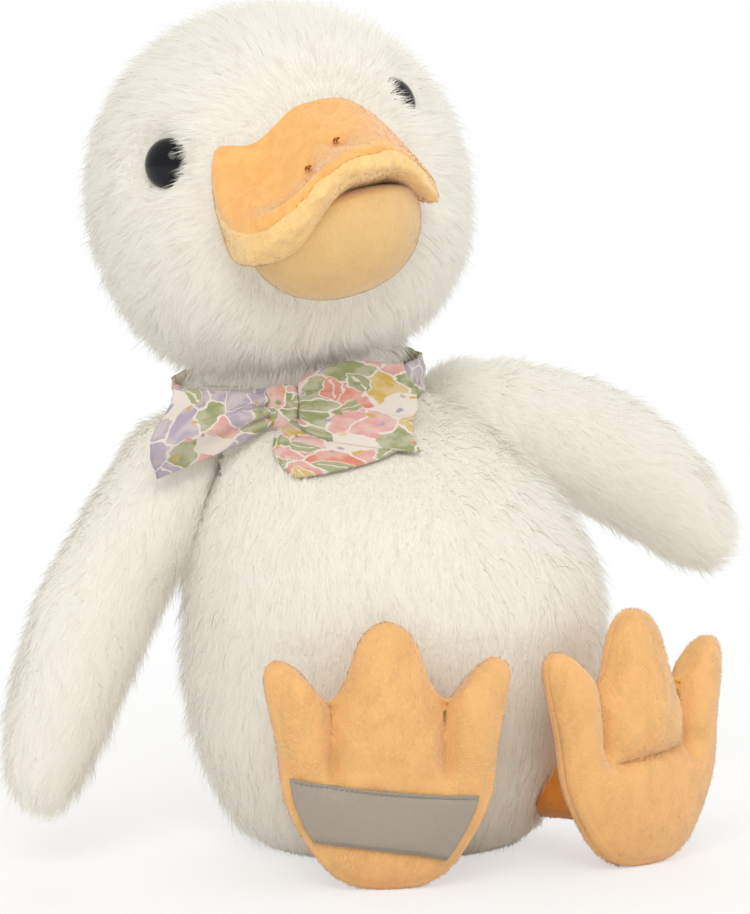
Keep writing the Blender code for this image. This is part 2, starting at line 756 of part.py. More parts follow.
def wing_off_body(name, side, grow, root_end, margin, around, rings):
    """A wing form cut by the body at its lowest and at rest, so it clears it in between."""
    lift = WING_LEFT_RAISE if side == LEFT else 0
    lower = WING_LEFT_LOWER if side == LEFT else 0
    form = wing_form(name, side, lift - lower, grow, root_end, around, rings)
    cut(form, body_form("body_skin", margin))
    if lower:
        there = Matrix.Translation(shoulder(side))
        turn = Matrix.Rotation(lower, 4, flap_axis(side))
        form.data.transform(there @ turn @ there.inverted())
        cut(form, body_form("body_skin", margin))
    return form


def make_wing(side):
    word = SIDE_NAMES[side]
    pivot = shoulder(side)
    lift = WING_LEFT_RAISE if side == LEFT else 0
    cover = wing_off_body(
        "wing_%s_cover" % word, side, 0, WING_ROOT_RADIUS, WING_CLEARANCE, 14, 14)
    join(cover, sphere("wing_root", pivot, WING_ROOT_RADIUS, 14, 8))
    inset = -PLUSH_WALL
    top = WING_ROOT_RADIUS - PLUSH_WALL
    wall = WING_CLEARANCE + PLUSH_WALL
    cut(cover, wing_off_body("wing_hollow", side, inset, top, wall, 10, 8))
    inwards = Vector((-side * (WING_ROOT_RADIUS + MOUTH_OVERRUN), 0, 0))
    inside = wing_place(side, lift) @ Vector((0, 0, -WING_MOUTH_DEPTH))
    cut(cover, rod("wing_mouth", pivot, pivot + inwards, WING_MOUTH_RADIUS, 10))
    cut(cover, rod("wing_neck", pivot, inside, WING_MOUTH_RADIUS, 10))
    stuffing = wing_off_body("wing_%s_stuffing" % word, side, inset - FILL_GAP,
                             top - FILL_GAP, wall + FILL_GAP, 10, 8)
    finish(cover, WHITE_PLUSH, 0.95, pivot)
    finish(stuffing, FILLING, 1, pivot)


# Legs and feet

def leg_form(name, side, grow, around=14, rings=8):
    """A stuffed tube with a ball at the hip and one at the ankle."""
    top, base = hip(side), ankle(side)
    axis = top - base
    turn = axis.to_track_quat("Z", "Y").to_matrix().to_4x4()

    def shape(along, c, s):
        across = sqrt(max(0, 1 - along * along))
        radius = (HIP_RADIUS if along >= 0 else ANKLE_RADIUS) + grow
        rise = axis.length if along >= 0 else 0
        return Vector((radius * across * c, radius * across * s, rise + radius * along))

    return ball(name, shape, around, rings, Matrix.Translation(base) @ turn)


def make_leg(side):
    word = SIDE_NAMES[side]
    top = hip(side)
    cover = leg_form("leg_%s_cover" % word, side, 0)
    cut(cover, body_form("body_skin", JOINT_GAP))
    join(cover, sphere("leg_root", top, HIP_RADIUS, 14, 8))
    cut(cover, leg_form("leg_hollow", side, -SHORT_PILE_WALL, 10, 6))
    inwards = Vector((0, HIP_RADIUS + MOUTH_OVERRUN, 0))
    cut(cover, rod("leg_mouth", top, top + inwards, LEG_MOUTH_RADIUS, 12))
    stuffing = leg_form("leg_%s_stuffing" % word, side, -SHORT_PILE_WALL - FILL_GAP, 10, 6)
    finish(cover, LEG_PILE, 0.9, top)
    finish(stuffing, FILLING, 1, top)


def foot_place(side):
    """The foot's middle stands on the ankle, turned out and leaning back a little."""
    turn = Matrix.Rotation(side * FOOT_TURN, 4, "Z") @ Matrix.Rotation(-FOOT_LEAN, 4, "X")
    inside = Matrix.Translation((0, -FOOT_HALF_DEPTH, ANKLE_DROP))
    return Matrix.Translation(ankle(side)) @ turn @ inside


def foot_outline(grow):
    """Points round the foot from the heel to the middle toe and back, moved out by grow."""
    half = [
        (HEEL_HALF_WIDTH, -HEEL_SIDE_DROP),
        (PALM_HALF_WIDTH, -PALM_SIDE_DROP),
        (INSTEP_HALF_WIDTH, INSTEP_RISE),
        (SIDE_TOE_ASIDE, SIDE_TOE_RISE),
        (SIDE_TOE_TIP_ASIDE, SIDE_TOE_REACH),
        (SIDE_TOE_INNER_ASIDE, SIDE_TOE_INNER_RISE),
        (SIDE_TOE_ROOT_ASIDE, SIDE_TOE_ROOT_RISE),
        (WEB_ASIDE, WEB_RISE),
        (MIDDLE_TOE_ROOT_HALF_WIDTH, MIDDLE_TOE_ROOT_RISE),
        (MIDDLE_TOE_HALF_WIDTH, MIDDLE_TOE_RISE),
    ]
    other = [(-x, z) for x, z in reversed(half)]
    points = [(0, -HEEL_DROP)] + half + [(0, MIDDLE_TOE_REACH)] + other
    grown = []
    for i, (x, z) in enumerate(points):
        before, after = points[i - 1], points[(i + 1) % len(points)]
        out = Vector((after[1] - before[1], 0, before[0] - after[0])).normalized()
        grown.append(Vector((x, 0, z)) + out * grow)
    return grown


def along_outline(points, share):
    """A point of the smooth closed curve through the points, at a share of the way round."""
    at = (share % 1) * len(points)
    first = int(at)
    t = at - first
    a, b, c, d = (points[(first + step) % len(points)] for step in (-1, 0, 1, 2))
    straight = (c - a) * t / 2 + (a * 2 - b * 5 + c * 4 - d) * t**2 / 2
    return b + straight + (b * 3 - a - c * 3 + d) * t**3 / 2


def crease(point):
    """How much thinner the foot is along the two lines that run down from the webs."""
    rise = (point.z - CREASE_ROOT_RISE) / (WEB_RISE - CREASE_ROOT_RISE)
    off = (abs(point.x) - WEB_ASIDE * (0.5 + min(1, max(0, rise)) / 2)) / CREASE_HALF_WIDTH
    return CREASE_DEPTH_SHARE * min(1, max(0, rise)) / (1 + off * off)


def foot_form(name, side, grow, around=44, rings=8, slack=0):
    """A padded foot: its outline shrinks towards the middle as the padding rises."""
    points = foot_outline(grow)
    centre = Vector((0, 0, -FOOT_CENTRE_DROP))
    scale = 1 - slack / PALM_HALF_WIDTH

    def shape(along, c, s):
        rim = along_outline(points, atan2(s, c) / (2 * pi)) - centre
        point = centre + rim * round_off(along, FOOT_FULLNESS_SHARE) * scale
        depth = FOOT_HALF_DEPTH * (1 - crease(point)) + grow - slack
        return point - Vector((0, depth * along, 0))

    return ball(name, shape, around, rings, foot_place(side))


def half_space(side, behind):
    """A block that holds everything behind, or in front of, the foot's rim seam."""
    big = SIDE_TOE_ASIDE + MIDDLE_TOE_REACH
    seam = SEAM_GAP / 2
    low = (-big, -seam if behind else -big, -big)
    high = (big, big if behind else seam, big)
    return block("seam_cut", low, high, foot_place(side))


def make_foot(side):
    word = SIDE_NAMES[side]
    top = ankle(side)
    pocket_radius = ANKLE_RADIUS + ANKLE_GAP
    sole = foot_form("foot_%s_sole" % word, side, 0)
    upper = foot_form("foot_%s_upper" % word, side, 0)
    cut(sole, half_space(side, True), foot_form("foot_hollow", side, -SHORT_PILE_WALL, 31, 6))
    cut(upper, half_space(side, False), foot_form("foot_hollow", side, -SHORT_PILE_WALL, 31, 6))
    stuffing = foot_form(
        "foot_%s_stuffing" % word, side, -SHORT_PILE_WALL, 31, 6, FOOT_FILL_SLACK)
    for piece in (upper, stuffing):
        cut(piece, sphere("ankle_pocket", top, pocket_radius, 16, 8))
        cut(piece, rod("leg_room", top, hip(side), ANKLE_RADIUS + ANKLE_PLAY))
        cut(piece, body_form("body_room", WING_CLEARANCE))
    for piece in (sole, upper):
        keep_above(piece, 0)
    finish(sole, FOOT_PILE, 0.9, top)
    finish(upper, FOOT_PILE, 0.9, top)
    finish(stuffing, FILLING, 1, top)


def make_foot_band(side):
    """A bare satin band sewn across the sole under the toes."""
    band = foot_form("foot_%s_band" % SIDE_NAMES[side], side, SEAM_GAP + BAND_THICKNESS)
    wide = PALM_HALF_WIDTH * 2
    top = -BAND_TOP_DROP
    low = (-wide, -wide, top - BAND_WIDTH)
    high = (wide, -SEAM_GAP, top)
    combine(band, block("band_cut", low, high, foot_place(side)), "INTERSECT")
    cut(band, foot_form("band_seat", side, SEAM_GAP))
    finish(band, SATIN, 0.4, ankle(side))


# Ribbon and bow

def make_ribbon():
    ring = ribbon_ring(
        "neck_ribbon", RIBBON_RADIUS, RIBBON_RADIUS + RIBBON_THICKNESS, RIBBON_WIDTH / 2)
    finish(ring, COTTON, 0.85)


def bow_turn():
    """The bow is tied a little towards the duck's right."""
    return Matrix.Rotation(-BOW_TURN, 4, "Z")


def knot_centre():
    reach = RIBBON_RADIUS + RIBBON_THICKNESS + SEAM_GAP + KNOT_HALF_DEPTH
    return ribbon_place() @ bow_turn() @ Vector((0, -reach, 0))


def make_knot():
    turn = (ribbon_place() @ bow_turn()).to_3x3().to_4x4()

    def shape(along, c, s):
        spread = round_off(along, KNOT_FULLNESS_SHARE)
        return Vector((
            KNOT_HALF_WIDTH * spread * c, KNOT_HALF_DEPTH * spread * s, KNOT_HALF_HEIGHT * along
        ))

    knot = ball("bow_knot", shape, 16, 10, Matrix.Translation(knot_centre()) @ turn)
    cut(knot, body_form("body_skin", SEAM_GAP))
    finish(knot, COTTON, 0.85)


def off_breast(point):
    """Push a point of the bow out, where it would be inside the breast or the ribbon."""
    x, y = body_axis(point.z)
    aside, ahead = point.x - x, y - point.y
    turn = atan2(aside, ahead)
    spread = max(body_spread(point.z), ROUNDING_SHARE)
    wide, deep = BODY_HALF_WIDTH * spread, BODY_HALF_DEPTH * spread
    breast = wide * deep / hypot(deep * sin(turn), wide * cos(turn))
    least = max(breast, RIBBON_RADIUS + RIBBON_FORWARD + RIBBON_THICKNESS) + BOW_STANDOFF
    far = max(hypot(aside, ahead), least)
    return Vector((x + far * sin(turn), y - far * cos(turn), point.z))


def make_bow_tail(side):
    """A ribbon end that fans out from the knot in soft folds, clear of the wing beside it."""
    reach = BOW_RIGHT_REACH if side == RIGHT else BOW_LEFT_REACH
    half_height = BOW_RIGHT_HALF_HEIGHT if side == RIGHT else BOW_LEFT_HALF_HEIGHT
    fall = BOW_RIGHT_FALL if side == RIGHT else BOW_LEFT_FALL
    flare_share = BOW_RIGHT_FLARE_SHARE if side == RIGHT else BOW_LEFT_FLARE_SHARE
    splay = BOW_RIGHT_SPLAY if side == RIGHT else BOW_LEFT_SPLAY
    turn = (ribbon_place() @ bow_turn() @ Matrix.Rotation(splay, 4, "Z")).to_3x3()
    knot_reach = 1 / hypot(cos(splay) / KNOT_HALF_WIDTH, sin(splay) / KNOT_HALF_DEPTH)
    start = knot_reach + SEAM_GAP * 2
    bm = bmesh.new()
    bmesh.ops.create_grid(bm, x_segments=8, y_segments=8, size=0.5)
    for vert in bm.verts:
        out = vert.co.x + 0.5
        across = vert.co.y * 2
        flare = BOW_ROOT_HALF_HEIGHT + (half_height - BOW_ROOT_HALF_HEIGHT) * out**flare_share
        sweep = reach * out / BOW_SWEEP_RADIUS
        fold = BOW_FOLD_DEPTH * out * cos(pi * across)
        away = Vector((
            side * (start + BOW_SWEEP_RADIUS * sin(sweep)),
            BOW_SWEEP_RADIUS * (1 - cos(sweep)) - fold,
            across * flare - fall * out,
        ))
        vert.co = off_breast(knot_centre() + turn @ away)
    tail = object_from("bow_tail_" + SIDE_NAMES[side], bm)
    cloth = tail.modifiers.new("cloth", "SOLIDIFY")
    cloth.thickness = BOW_CLOTH
    cloth.offset = 0
    settle(tail)
    finish(tail, COTTON, 0.85)


def main():
    clear_scene()
    make_body()
    make_tail()
    make_head()
    make_bill()
    for side in (RIGHT, LEFT):
        make_wing(side)
        make_leg(side)
        make_foot(side)
    make_foot_band(RIGHT)
    make_ribbon()
    make_knot()
    for side in (RIGHT, LEFT):
        make_bow_tail(side)


main()
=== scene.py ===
"""The looks of a seated plush duck: fur, short pile, cotton bow, satin foot band, studio stage.

Metres, +Z up, in the frame of the packed part. The duck faces -Y, so its right side is at -X.
Fur is made of thin blades that stand on a skin. Every skin repeats a form of the part's source.
"""

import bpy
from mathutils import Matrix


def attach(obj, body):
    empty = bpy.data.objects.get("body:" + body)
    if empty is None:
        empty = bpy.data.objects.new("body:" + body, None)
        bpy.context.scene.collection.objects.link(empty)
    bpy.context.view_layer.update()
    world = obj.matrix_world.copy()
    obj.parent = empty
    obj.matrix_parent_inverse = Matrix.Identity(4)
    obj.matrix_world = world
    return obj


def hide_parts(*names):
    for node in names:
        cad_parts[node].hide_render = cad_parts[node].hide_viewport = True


bl_info = {
    "name": "Plush Duck",
    "version": (1, 0, 0),
    "blender": (4, 5, 0),
    "location": "View3D > Sidebar > Plush Duck",
    "description": "Dresses the packed plush duck in fur, pile and cloth and sets its stage",
    "category": "Object",
}

from math import acos, atan2, copysign, cos, exp, hypot, pi, radians, sin, sqrt

import bmesh
import bpy
import numpy as np
from bpy.props import (
    FloatProperty,
    FloatVectorProperty,
    IntProperty,
    PointerProperty,
)
from mathutils import Matrix, Vector, kdtree, noise

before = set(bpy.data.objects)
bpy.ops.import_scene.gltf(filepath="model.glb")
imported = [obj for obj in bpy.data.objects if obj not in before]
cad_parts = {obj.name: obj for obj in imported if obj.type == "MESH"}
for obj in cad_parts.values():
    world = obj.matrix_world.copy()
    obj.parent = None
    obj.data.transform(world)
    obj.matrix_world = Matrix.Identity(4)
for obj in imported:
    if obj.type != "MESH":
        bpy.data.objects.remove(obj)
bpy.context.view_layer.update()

RIGHT = -1
LEFT = 1
SIDE_NAMES = {RIGHT: "right", LEFT: "left"}


# Sizes of the part, repeated from its source

BODY_HALF_WIDTH = 0.0665
BODY_HALF_DEPTH = 0.0570
BELLY_HEIGHT = 0.0700
BODY_FALL = 0.0820
BODY_RISE = 0.0900
BODY_LEAN_SIDE = 0.0200
BODY_LEAN_BACK = 0.0340
SEAT_FULLNESS = 2.35
SHOULDER_FULLNESS = 2.05
NECK_HEIGHT = 0.1460
NECK_RADIUS = 0.0340
NECK_PIVOT = Vector((-BODY_LEAN_SIDE, BODY_LEAN_BACK, NECK_HEIGHT))

HEAD_HALF_WIDTH = 0.0570
HEAD_HALF_DEPTH = 0.0540
HEAD_HALF_HEIGHT = 0.0560
CHEEK_FULLNESS = 2.40
CROWN_FULLNESS = 2.00
HEAD_PLACE = (
    Matrix.Translation(NECK_PIVOT + Vector((-0.0105, -0.0090, 0.0620)))
    @ Matrix.Rotation(radians(-12), 4, "Z")
    @ Matrix.Rotation(radians(-9), 4, "X")
    @ Matrix.Rotation(radians(-16), 4, "Y")
)

EYE_RADIUS = 0.0080
EYE_HALF_HEIGHT = 0.0062
EYE_BACK_HEIGHT = 0.0012
EYE_SINK = 0.0045

BILL_LEVEL = -0.0100
BILL_LENGTH = 0.0390
BILL_ROOT_DEPTH = 0.0150
BILL_ROOT_HALF_WIDTH = 0.0360
BILL_TIP_HALF_WIDTH = 0.0245
BILL_ROOT_CROWN = 0.0420
BILL_TIP_CROWN = 0.0065
BILL_LINING_THICKNESS = 0.0065
BILL_DROOP = 0.0190
LIP_OVERHANG = 0.0016
BILL_FULLNESS = 3.30
BILL_HALF_LENGTH = (BILL_LENGTH + BILL_ROOT_DEPTH) / 2
BILL_MIDDLE = HEAD_HALF_DEPTH - BILL_ROOT_DEPTH + BILL_HALF_LENGTH
NOSTRIL_ASIDE = 0.19
NOSTRIL_FORWARD = -0.32
NOSTRIL_LENGTH = 0.0056

LOWER_BILL_ROOT_HALF_WIDTH = 0.0300
LOWER_BILL_TIP_HALF_WIDTH = 0.0240
LOWER_BILL_SETBACK = 0.0070
LOWER_BILL_DEPTH = 0.0240
LOWER_BILL_CROWN = 0.0060
LOWER_BILL_DROP = 0.0100
LOWER_BILL_FULLNESS = 2.20

WING_LENGTH = 0.1120
WING_ROOT_RADIUS = 0.0165
WING_HALF_WIDTH = 0.0172
WING_HALF_DEPTH = 0.0135
WING_HELD_LIFT = 0.0040
WING_ARCH = 0.0060
WING_FULLNESS = 3.20
WING_STANDOFF = 0.0045
WING_HEIGHTS = {RIGHT: 0.1200, LEFT: 0.1350}
WING_SPREAD = radians(28)
WING_FORWARD = radians(9)
WING_LIFTS = {RIGHT: 0, LEFT: radians(36)}
WING_SWEEPS = {RIGHT: 0, LEFT: radians(13)}

TAIL_LENGTH = 0.0340
TAIL_HALF_WIDTH = 0.0170
TAIL_HALF_DEPTH = 0.0100
TAIL_HEIGHT = 0.0360
TAIL_RISE = radians(38)

HIP_ASIDE = 0.0300
HIP_SHIFT = 0.0105
HIP_HEIGHT = 0.0205
HIP_RADIUS = 0.0112
HIP_SINK = 0.0040
ANKLE_ASIDE = 0.0400
ANKLE_HEIGHT = 0.0215
ANKLE_RADIUS = 0.0102
LEG_REACH = 0.0210

FOOT_HALF_DEPTH = 0.0092
FOOT_CENTRE_DROP = 0.0070
FOOT_FULLNESS = 2.40
FOOT_TURN = radians(16)
FOOT_LEAN = radians(4)
ANKLE_DROP = 0.0135
WEB_ASIDE = 0.0175
WEB_RISE = 0.0205
CREASE_ASIDE = 0.0170
TUCK_ASIDE = 0.0210
TOE_PLUMPNESS = 0.22
FOOT_HALF_SPAN = 0.036
FOOT_RING_SPACING = 2.2
RIM_SEAM_SHARE = 0.93
CREASE_HALF_WIDTH = 0.0040
CREASE_ROOT_RISE = -0.0060
HALF_OUTLINE = [
    (0.0170, -0.0315),
    (0.0300, -0.0120),
    (0.0335, 0.0080),
    (0.0370, 0.0270),
    (0.0335, 0.0325),
    (0.0276, 0.0300),
    (0.0212, 0.0228),
    (0.0175, 0.0205),
    (0.0130, 0.0255),
    (0.0075, 0.0390),
]
FOOT_OUTLINE = [
    Vector((x, 0, z))
    for x, z in [(0, -0.0362)]
    + HALF_OUTLINE
    + [(0, 0.0435)]
    + [(-x, z) for x, z in reversed(HALF_OUTLINE)]
]
BAND_WIDTH = 0.0190
BAND_TOP_DROP = 0.0050
BAND_LENGTH = 0.0590
BAND_INSET = 0.0024
BAND_END_INSET = 0.0026
BAND_TILT = 0.105

RIBBON_RADIUS = 0.0395
RIBBON_WIDTH = 0.0110
RIBBON_THICKNESS = 0.0016
RIBBON_FORWARD = 0.0020
KNOT_HALF_WIDTH = 0.0065
KNOT_HALF_HEIGHT = 0.0075
KNOT_HALF_DEPTH = 0.0050
BOW_SWEEP_RADIUS = 0.2400
BOW_ROOT_HALF_HEIGHT = 0.0050
BOW_STANDOFF = 0.0030
LIP_COVER = 0.0014
BOW_CLOTH = 0.0008
BOW_REACH = {RIGHT: 0.0390, LEFT: 0.0260}
BOW_HALF_HEIGHT = {RIGHT: 0.0135, LEFT: 0.0170}
BOW_FALL = {RIGHT: 0.0010, LEFT: 0.0040}
BOW_FLARE = {RIGHT: 0.90, LEFT: 0.40}
BOW_SPLAY = {RIGHT: radians(40), LEFT: radians(10)}


# Forms of the part

def round_off(along, fullness):
    """How wide a ball with fuller or flatter ends is at a height from -1 to 1."""
    return (1 - min(1, abs(along)) ** fullness) ** (1 / fullness)


def smooth_step(value, low, high):
    """0 up to low, 1 from high on, and a soft rise between. Takes numbers or arrays."""
    share = np.clip((value - low) / (high - low), 0, 1)
    return share * share * (3 - 2 * share)


def body_axis(height):
    share = max(0, (height - BELLY_HEIGHT) / (NECK_HEIGHT - BELLY_HEIGHT)) ** 2
    return -BODY_LEAN_SIDE * share, BODY_LEAN_BACK * share


def body_spread(height):
    if height < BELLY_HEIGHT:
        return round_off((height - BELLY_HEIGHT) / BODY_FALL, SEAT_FULLNESS)
    return round_off((height - BELLY_HEIGHT) / BODY_RISE, SHOULDER_FULLNESS)


def body_shape(grow):
    def shape(along, c, s):
        fullness = SEAT_FULLNESS if along < 0 else SHOULDER_FULLNESS
        height = BELLY_HEIGHT + ((BODY_FALL if along < 0 else BODY_RISE) + grow) * along
        spread = round_off(along, fullness)
        x, y = body_axis(height)
        wide = (BODY_HALF_WIDTH + grow) * spread
        deep = (BODY_HALF_DEPTH + grow) * spread
        return Vector((x + wide * c, y + deep * s, height))

    return shape


def shoulder(side):
    height = WING_HEIGHTS[side]
    x, y = body_axis(height)
    return Vector((x + side * (BODY_HALF_WIDTH * body_spread(height) + WING_STANDOFF), y, height))


def hip(side):
    across = HIP_SHIFT + side * HIP_ASIDE
    middle, y = body_axis(HIP_HEIGHT)
    aside = (across - middle) / BODY_HALF_WIDTH
    reach = sqrt(body_spread(HIP_HEIGHT) ** 2 - aside**2)
    return Vector((across, y - BODY_HALF_DEPTH * reach + HIP_SINK, HIP_HEIGHT))


def ankle(side):
    forward = (hip(RIGHT).y + hip(LEFT).y) / 2 - LEG_REACH
    return Vector((HIP_SHIFT + side * ANKLE_ASIDE, forward, ANKLE_HEIGHT))


def head_shape(grow):
    def shape(along, c, s):
        spread = round_off(along, CHEEK_FULLNESS if along < 0 else CROWN_FULLNESS)
        return HEAD_PLACE @ Vector((
            (HEAD_HALF_WIDTH + grow) * spread * c,
            (HEAD_HALF_DEPTH + grow) * spread * s,
            (HEAD_HALF_HEIGHT + grow) * along,
        ))

    return shape


def eye_direction(side):
    return Vector((side * 0.69, -0.60, 0.25)).normalized()


def head_reach(direction):
    sizes = (HEAD_HALF_WIDTH, HEAD_HALF_DEPTH, HEAD_HALF_HEIGHT)
    return 1 / sqrt(sum((part / size) ** 2 for part, size in zip(direction, sizes)))


def eye_mouth(side):
    """The point of the head's surface that an eye stands on."""
    direction = eye_direction(side)
    return HEAD_PLACE @ (direction * head_reach(direction))


def bill_point(u, v, grow):
    """A point of the wavy sheet between the two cushions of the upper bill."""
    back = (1 + v) / 2
    width = BILL_TIP_HALF_WIDTH + (BILL_ROOT_HALF_WIDTH - BILL_TIP_HALF_WIDTH) * back
    aside, ahead = u * (width + grow), v * (BILL_HALF_LENGTH + grow)
    return Vector((aside, ahead - BILL_MIDDLE, BILL_LEVEL - bill_droop(aside, v)))


def bill_droop(aside, v):
    """How far the sheet hangs: an S at the duck's right, and a short lobe at its left."""
    wave = np.maximum(0, np.cos(1.5 * (np.clip(v, -1, 1) + 0.2)))
    share = aside / BILL_ROOT_HALF_WIDTH
    right = 0.76 * smooth_step(-share, -0.12, 0.50)
    left = 0.75 * smooth_step(share, 0.42, 1.0)
    return BILL_DROOP * wave * (right + left)


def bill_squareness(u):
    """How squarely the top of the bill rises at its sides, most at the duck's right."""
    return 0.80 - 0.48 * smooth_step(-u, 0.1, 0.7)


def bill_crown(v):
    back = max(0, (1 + v) / 2)
    return BILL_TIP_CROWN + (BILL_ROOT_CROWN - BILL_TIP_CROWN) * back**1.8


def wing_place(side):
    turn = Matrix.Rotation(WING_SWEEPS[side], 4, "Z")
    turn = turn @ Matrix.Rotation(-side * (WING_SPREAD + WING_LIFTS[side]), 4, "Y")
    return Matrix.Translation(shoulder(side)) @ turn @ Matrix.Rotation(-WING_FORWARD, 4, "X")


def foot_place(side):
    turn = Matrix.Rotation(side * FOOT_TURN, 4, "Z") @ Matrix.Rotation(-FOOT_LEAN, 4, "X")
    inside = Matrix.Translation((0, -FOOT_HALF_DEPTH, ANKLE_DROP))
    return Matrix.Translation(ankle(side)) @ turn @ inside


def foot_rim(share):
    """A point of the smooth closed outline of a foot, at a share of the way round."""
    points = FOOT_OUTLINE
    at = (share % 1) * len(points)
    first = int(at)
    t = at - first
    a, b, c, d = (points[(first + step) % len(points)] for step in (-1, 0, 1, 2))
    straight = (c - a) * t / 2 + (a * 2 - b * 5 + c * 4 - d) * t**2 / 2
    return b + straight + (b * 3 - a - c * 3 + d) * t**3 / 2


def toe_rise(z):
    """From 0 above the band to 1 where the toes are apart."""
    return float(smooth_step(z, CREASE_ROOT_RISE - 0.0035, CREASE_ROOT_RISE + 0.010))


def toe_crease(x, z):
    """How much thinner the padding is in the tucks that run down between the toes."""
    off = abs(abs(x) - CREASE_ASIDE) / CREASE_HALF_WIDTH
    tuck = abs(abs(x) - TUCK_ASIDE) / (CREASE_HALF_WIDTH * 0.5)
    short = float(smooth_step(z, 0.003, WEB_RISE))
    groove = (0.78 + 0.12 * short) * toe_rise(z) * exp(-off)
    return max(groove, 0.30 * short * exp(-tuck))


def toe_swell(x, z):
    """How much thicker the padding is along the middle of each toe of the sole."""
    if abs(x) < CREASE_ASIDE:
        swell = 1 - (x / CREASE_ASIDE) ** 2
    else:
        share = (abs(x) - CREASE_ASIDE) / (FOOT_HALF_SPAN - CREASE_ASIDE)
        swell = 0.7 * sin(pi * min(1, share))
    return TOE_PLUMPNESS * toe_rise(z) * swell


def ribbon_place():
    tilt = Matrix.Rotation(radians(4), 4, "X") @ Matrix.Rotation(radians(-8), 4, "Y")
    return Matrix.Translation(NECK_PIVOT + Vector((0, -RIBBON_FORWARD, 0))) @ tilt


def bow_turn():
    return Matrix.Rotation(radians(-29), 4, "Z")


def knot_centre():
    reach = RIBBON_RADIUS + RIBBON_THICKNESS + 0.0003 + KNOT_HALF_DEPTH
    return ribbon_place() @ bow_turn() @ Vector((0, -reach, 0))


# Meshes

def object_from(name, bm, smooth=True):
    bmesh.ops.recalc_face_normals(bm, faces=bm.faces)
    if bm.calc_volume(signed=True) < 0:
        bmesh.ops.reverse_faces(bm, faces=bm.faces)
    mesh = bpy.data.meshes.new(name)
    bm.to_mesh(mesh)
    bm.free()
    piece = bpy.data.objects.new(name, mesh)
    bpy.context.scene.collection.objects.link(piece)
    if smooth:
        mesh.shade_smooth()
    return piece


def ball_mesh(shape, around, rings, place=Matrix()):
    """A closed ball whose points are put by shape(along, across_cos, across_sin)."""
    bm = bmesh.new()
    bmesh.ops.create_uvsphere(bm, u_segments=around, v_segments=rings, radius=1)
    for vert in bm.verts:
        across = hypot(vert.co.x, vert.co.y)
        along = max(-1, min(1, vert.co.z))
        if across < 1e-6:
            vert.co = place @ shape(along, 0, 0)
        else:
            vert.co = place @ shape(along, vert.co.x / across, vert.co.y / across)
    return bm


def in_ball(centre, radius):
    return lambda point: (point - centre).length < radius


def in_head(grow):
    turn_back = HEAD_PLACE.inverted()

    def inside(point):
        x, y, z = turn_back @ point
        along = z / (HEAD_HALF_HEIGHT + grow)
        if abs(along) >= 1:
            return False
        spread = round_off(along, CHEEK_FULLNESS if along < 0 else CROWN_FULLNESS)
        across = hypot(x / (HEAD_HALF_WIDTH + grow), y / (HEAD_HALF_DEPTH + grow))
        return across < spread

    return inside


def dent(bm, centre, rooms):
    """Draw the points that lie in a room back towards the centre until they leave it."""
    for vert in bm.verts:
        share = 1.0
        while share > 0.1 and any(inside(vert.co) for inside in rooms):
            share -= 0.03
            vert.co = centre + (vert.co - centre) * share


def flatten_seat(bm, lowest):
    """Stand a soft form flat on the floor."""
    for vert in bm.verts:
        vert.co.z = max(vert.co.z, lowest)


def push_off_body(bm, margin, free):
    """Press a form that leans on the body back to the body's surface, but not where it is free."""
    for vert in bm.verts:
        if free(vert.co):
            continue
        x, y = body_axis(vert.co.z)
        spread = body_spread(vert.co.z)
        if spread <= 0:
            continue
        wide, deep = BODY_HALF_WIDTH * spread + margin, BODY_HALF_DEPTH * spread + margin
        reach = hypot((vert.co.x - x) / wide, (vert.co.y - y) / deep)
        if 1e-6 < reach < 1:
            vert.co.x = x + (vert.co.x - x) / reach
            vert.co.y = y + (vert.co.y - y) / reach


# Materials

class Wire:
    """A number on its way through a material, which maths can be written with."""

    def __init__(self, finish, socket):
        self.finish = finish
        self.socket = socket

    def maths(self, operation, *parts):
        node = self.finish.node("ShaderNodeMath", {"operation": operation}, dict(enumerate(parts)))
        return Wire(self.finish, node.outputs[0])

    def __add__(self, other):
        return self.maths("ADD", self, other)

    def __radd__(self, other):
        return self.maths("ADD", other, self)

    def __sub__(self, other):
        return self.maths("SUBTRACT", self, other)

    def __rsub__(self, other):
        return self.maths("SUBTRACT", other, self)

    def __mul__(self, other):
        return self.maths("MULTIPLY", self, other)

    def __rmul__(self, other):
        return self.maths("MULTIPLY", other, self)

    def __truediv__(self, other):
        return self.maths("DIVIDE", self, other)

    def __pow__(self, other):
        return self.maths("POWER", self, other)

    def __abs__(self):
        return self.maths("ABSOLUTE", self)

    def sine(self):
        return self.maths("SINE", self)

    def cosine(self):
        return self.maths("COSINE", self)

    def below(self, edge, softness):
        """1 where the number is below an edge, 0 where it is above, soft between."""
        node = self.finish.node(
            "ShaderNodeMapRange",
            {"interpolation_type": "SMOOTHSTEP"},
            {"Value": self, "From Min": edge - softness, "From Max": edge + softness,
             "To Min": 1.0, "To Max": 0.0},
        )
        return Wire(self.finish, node.outputs["Result"])


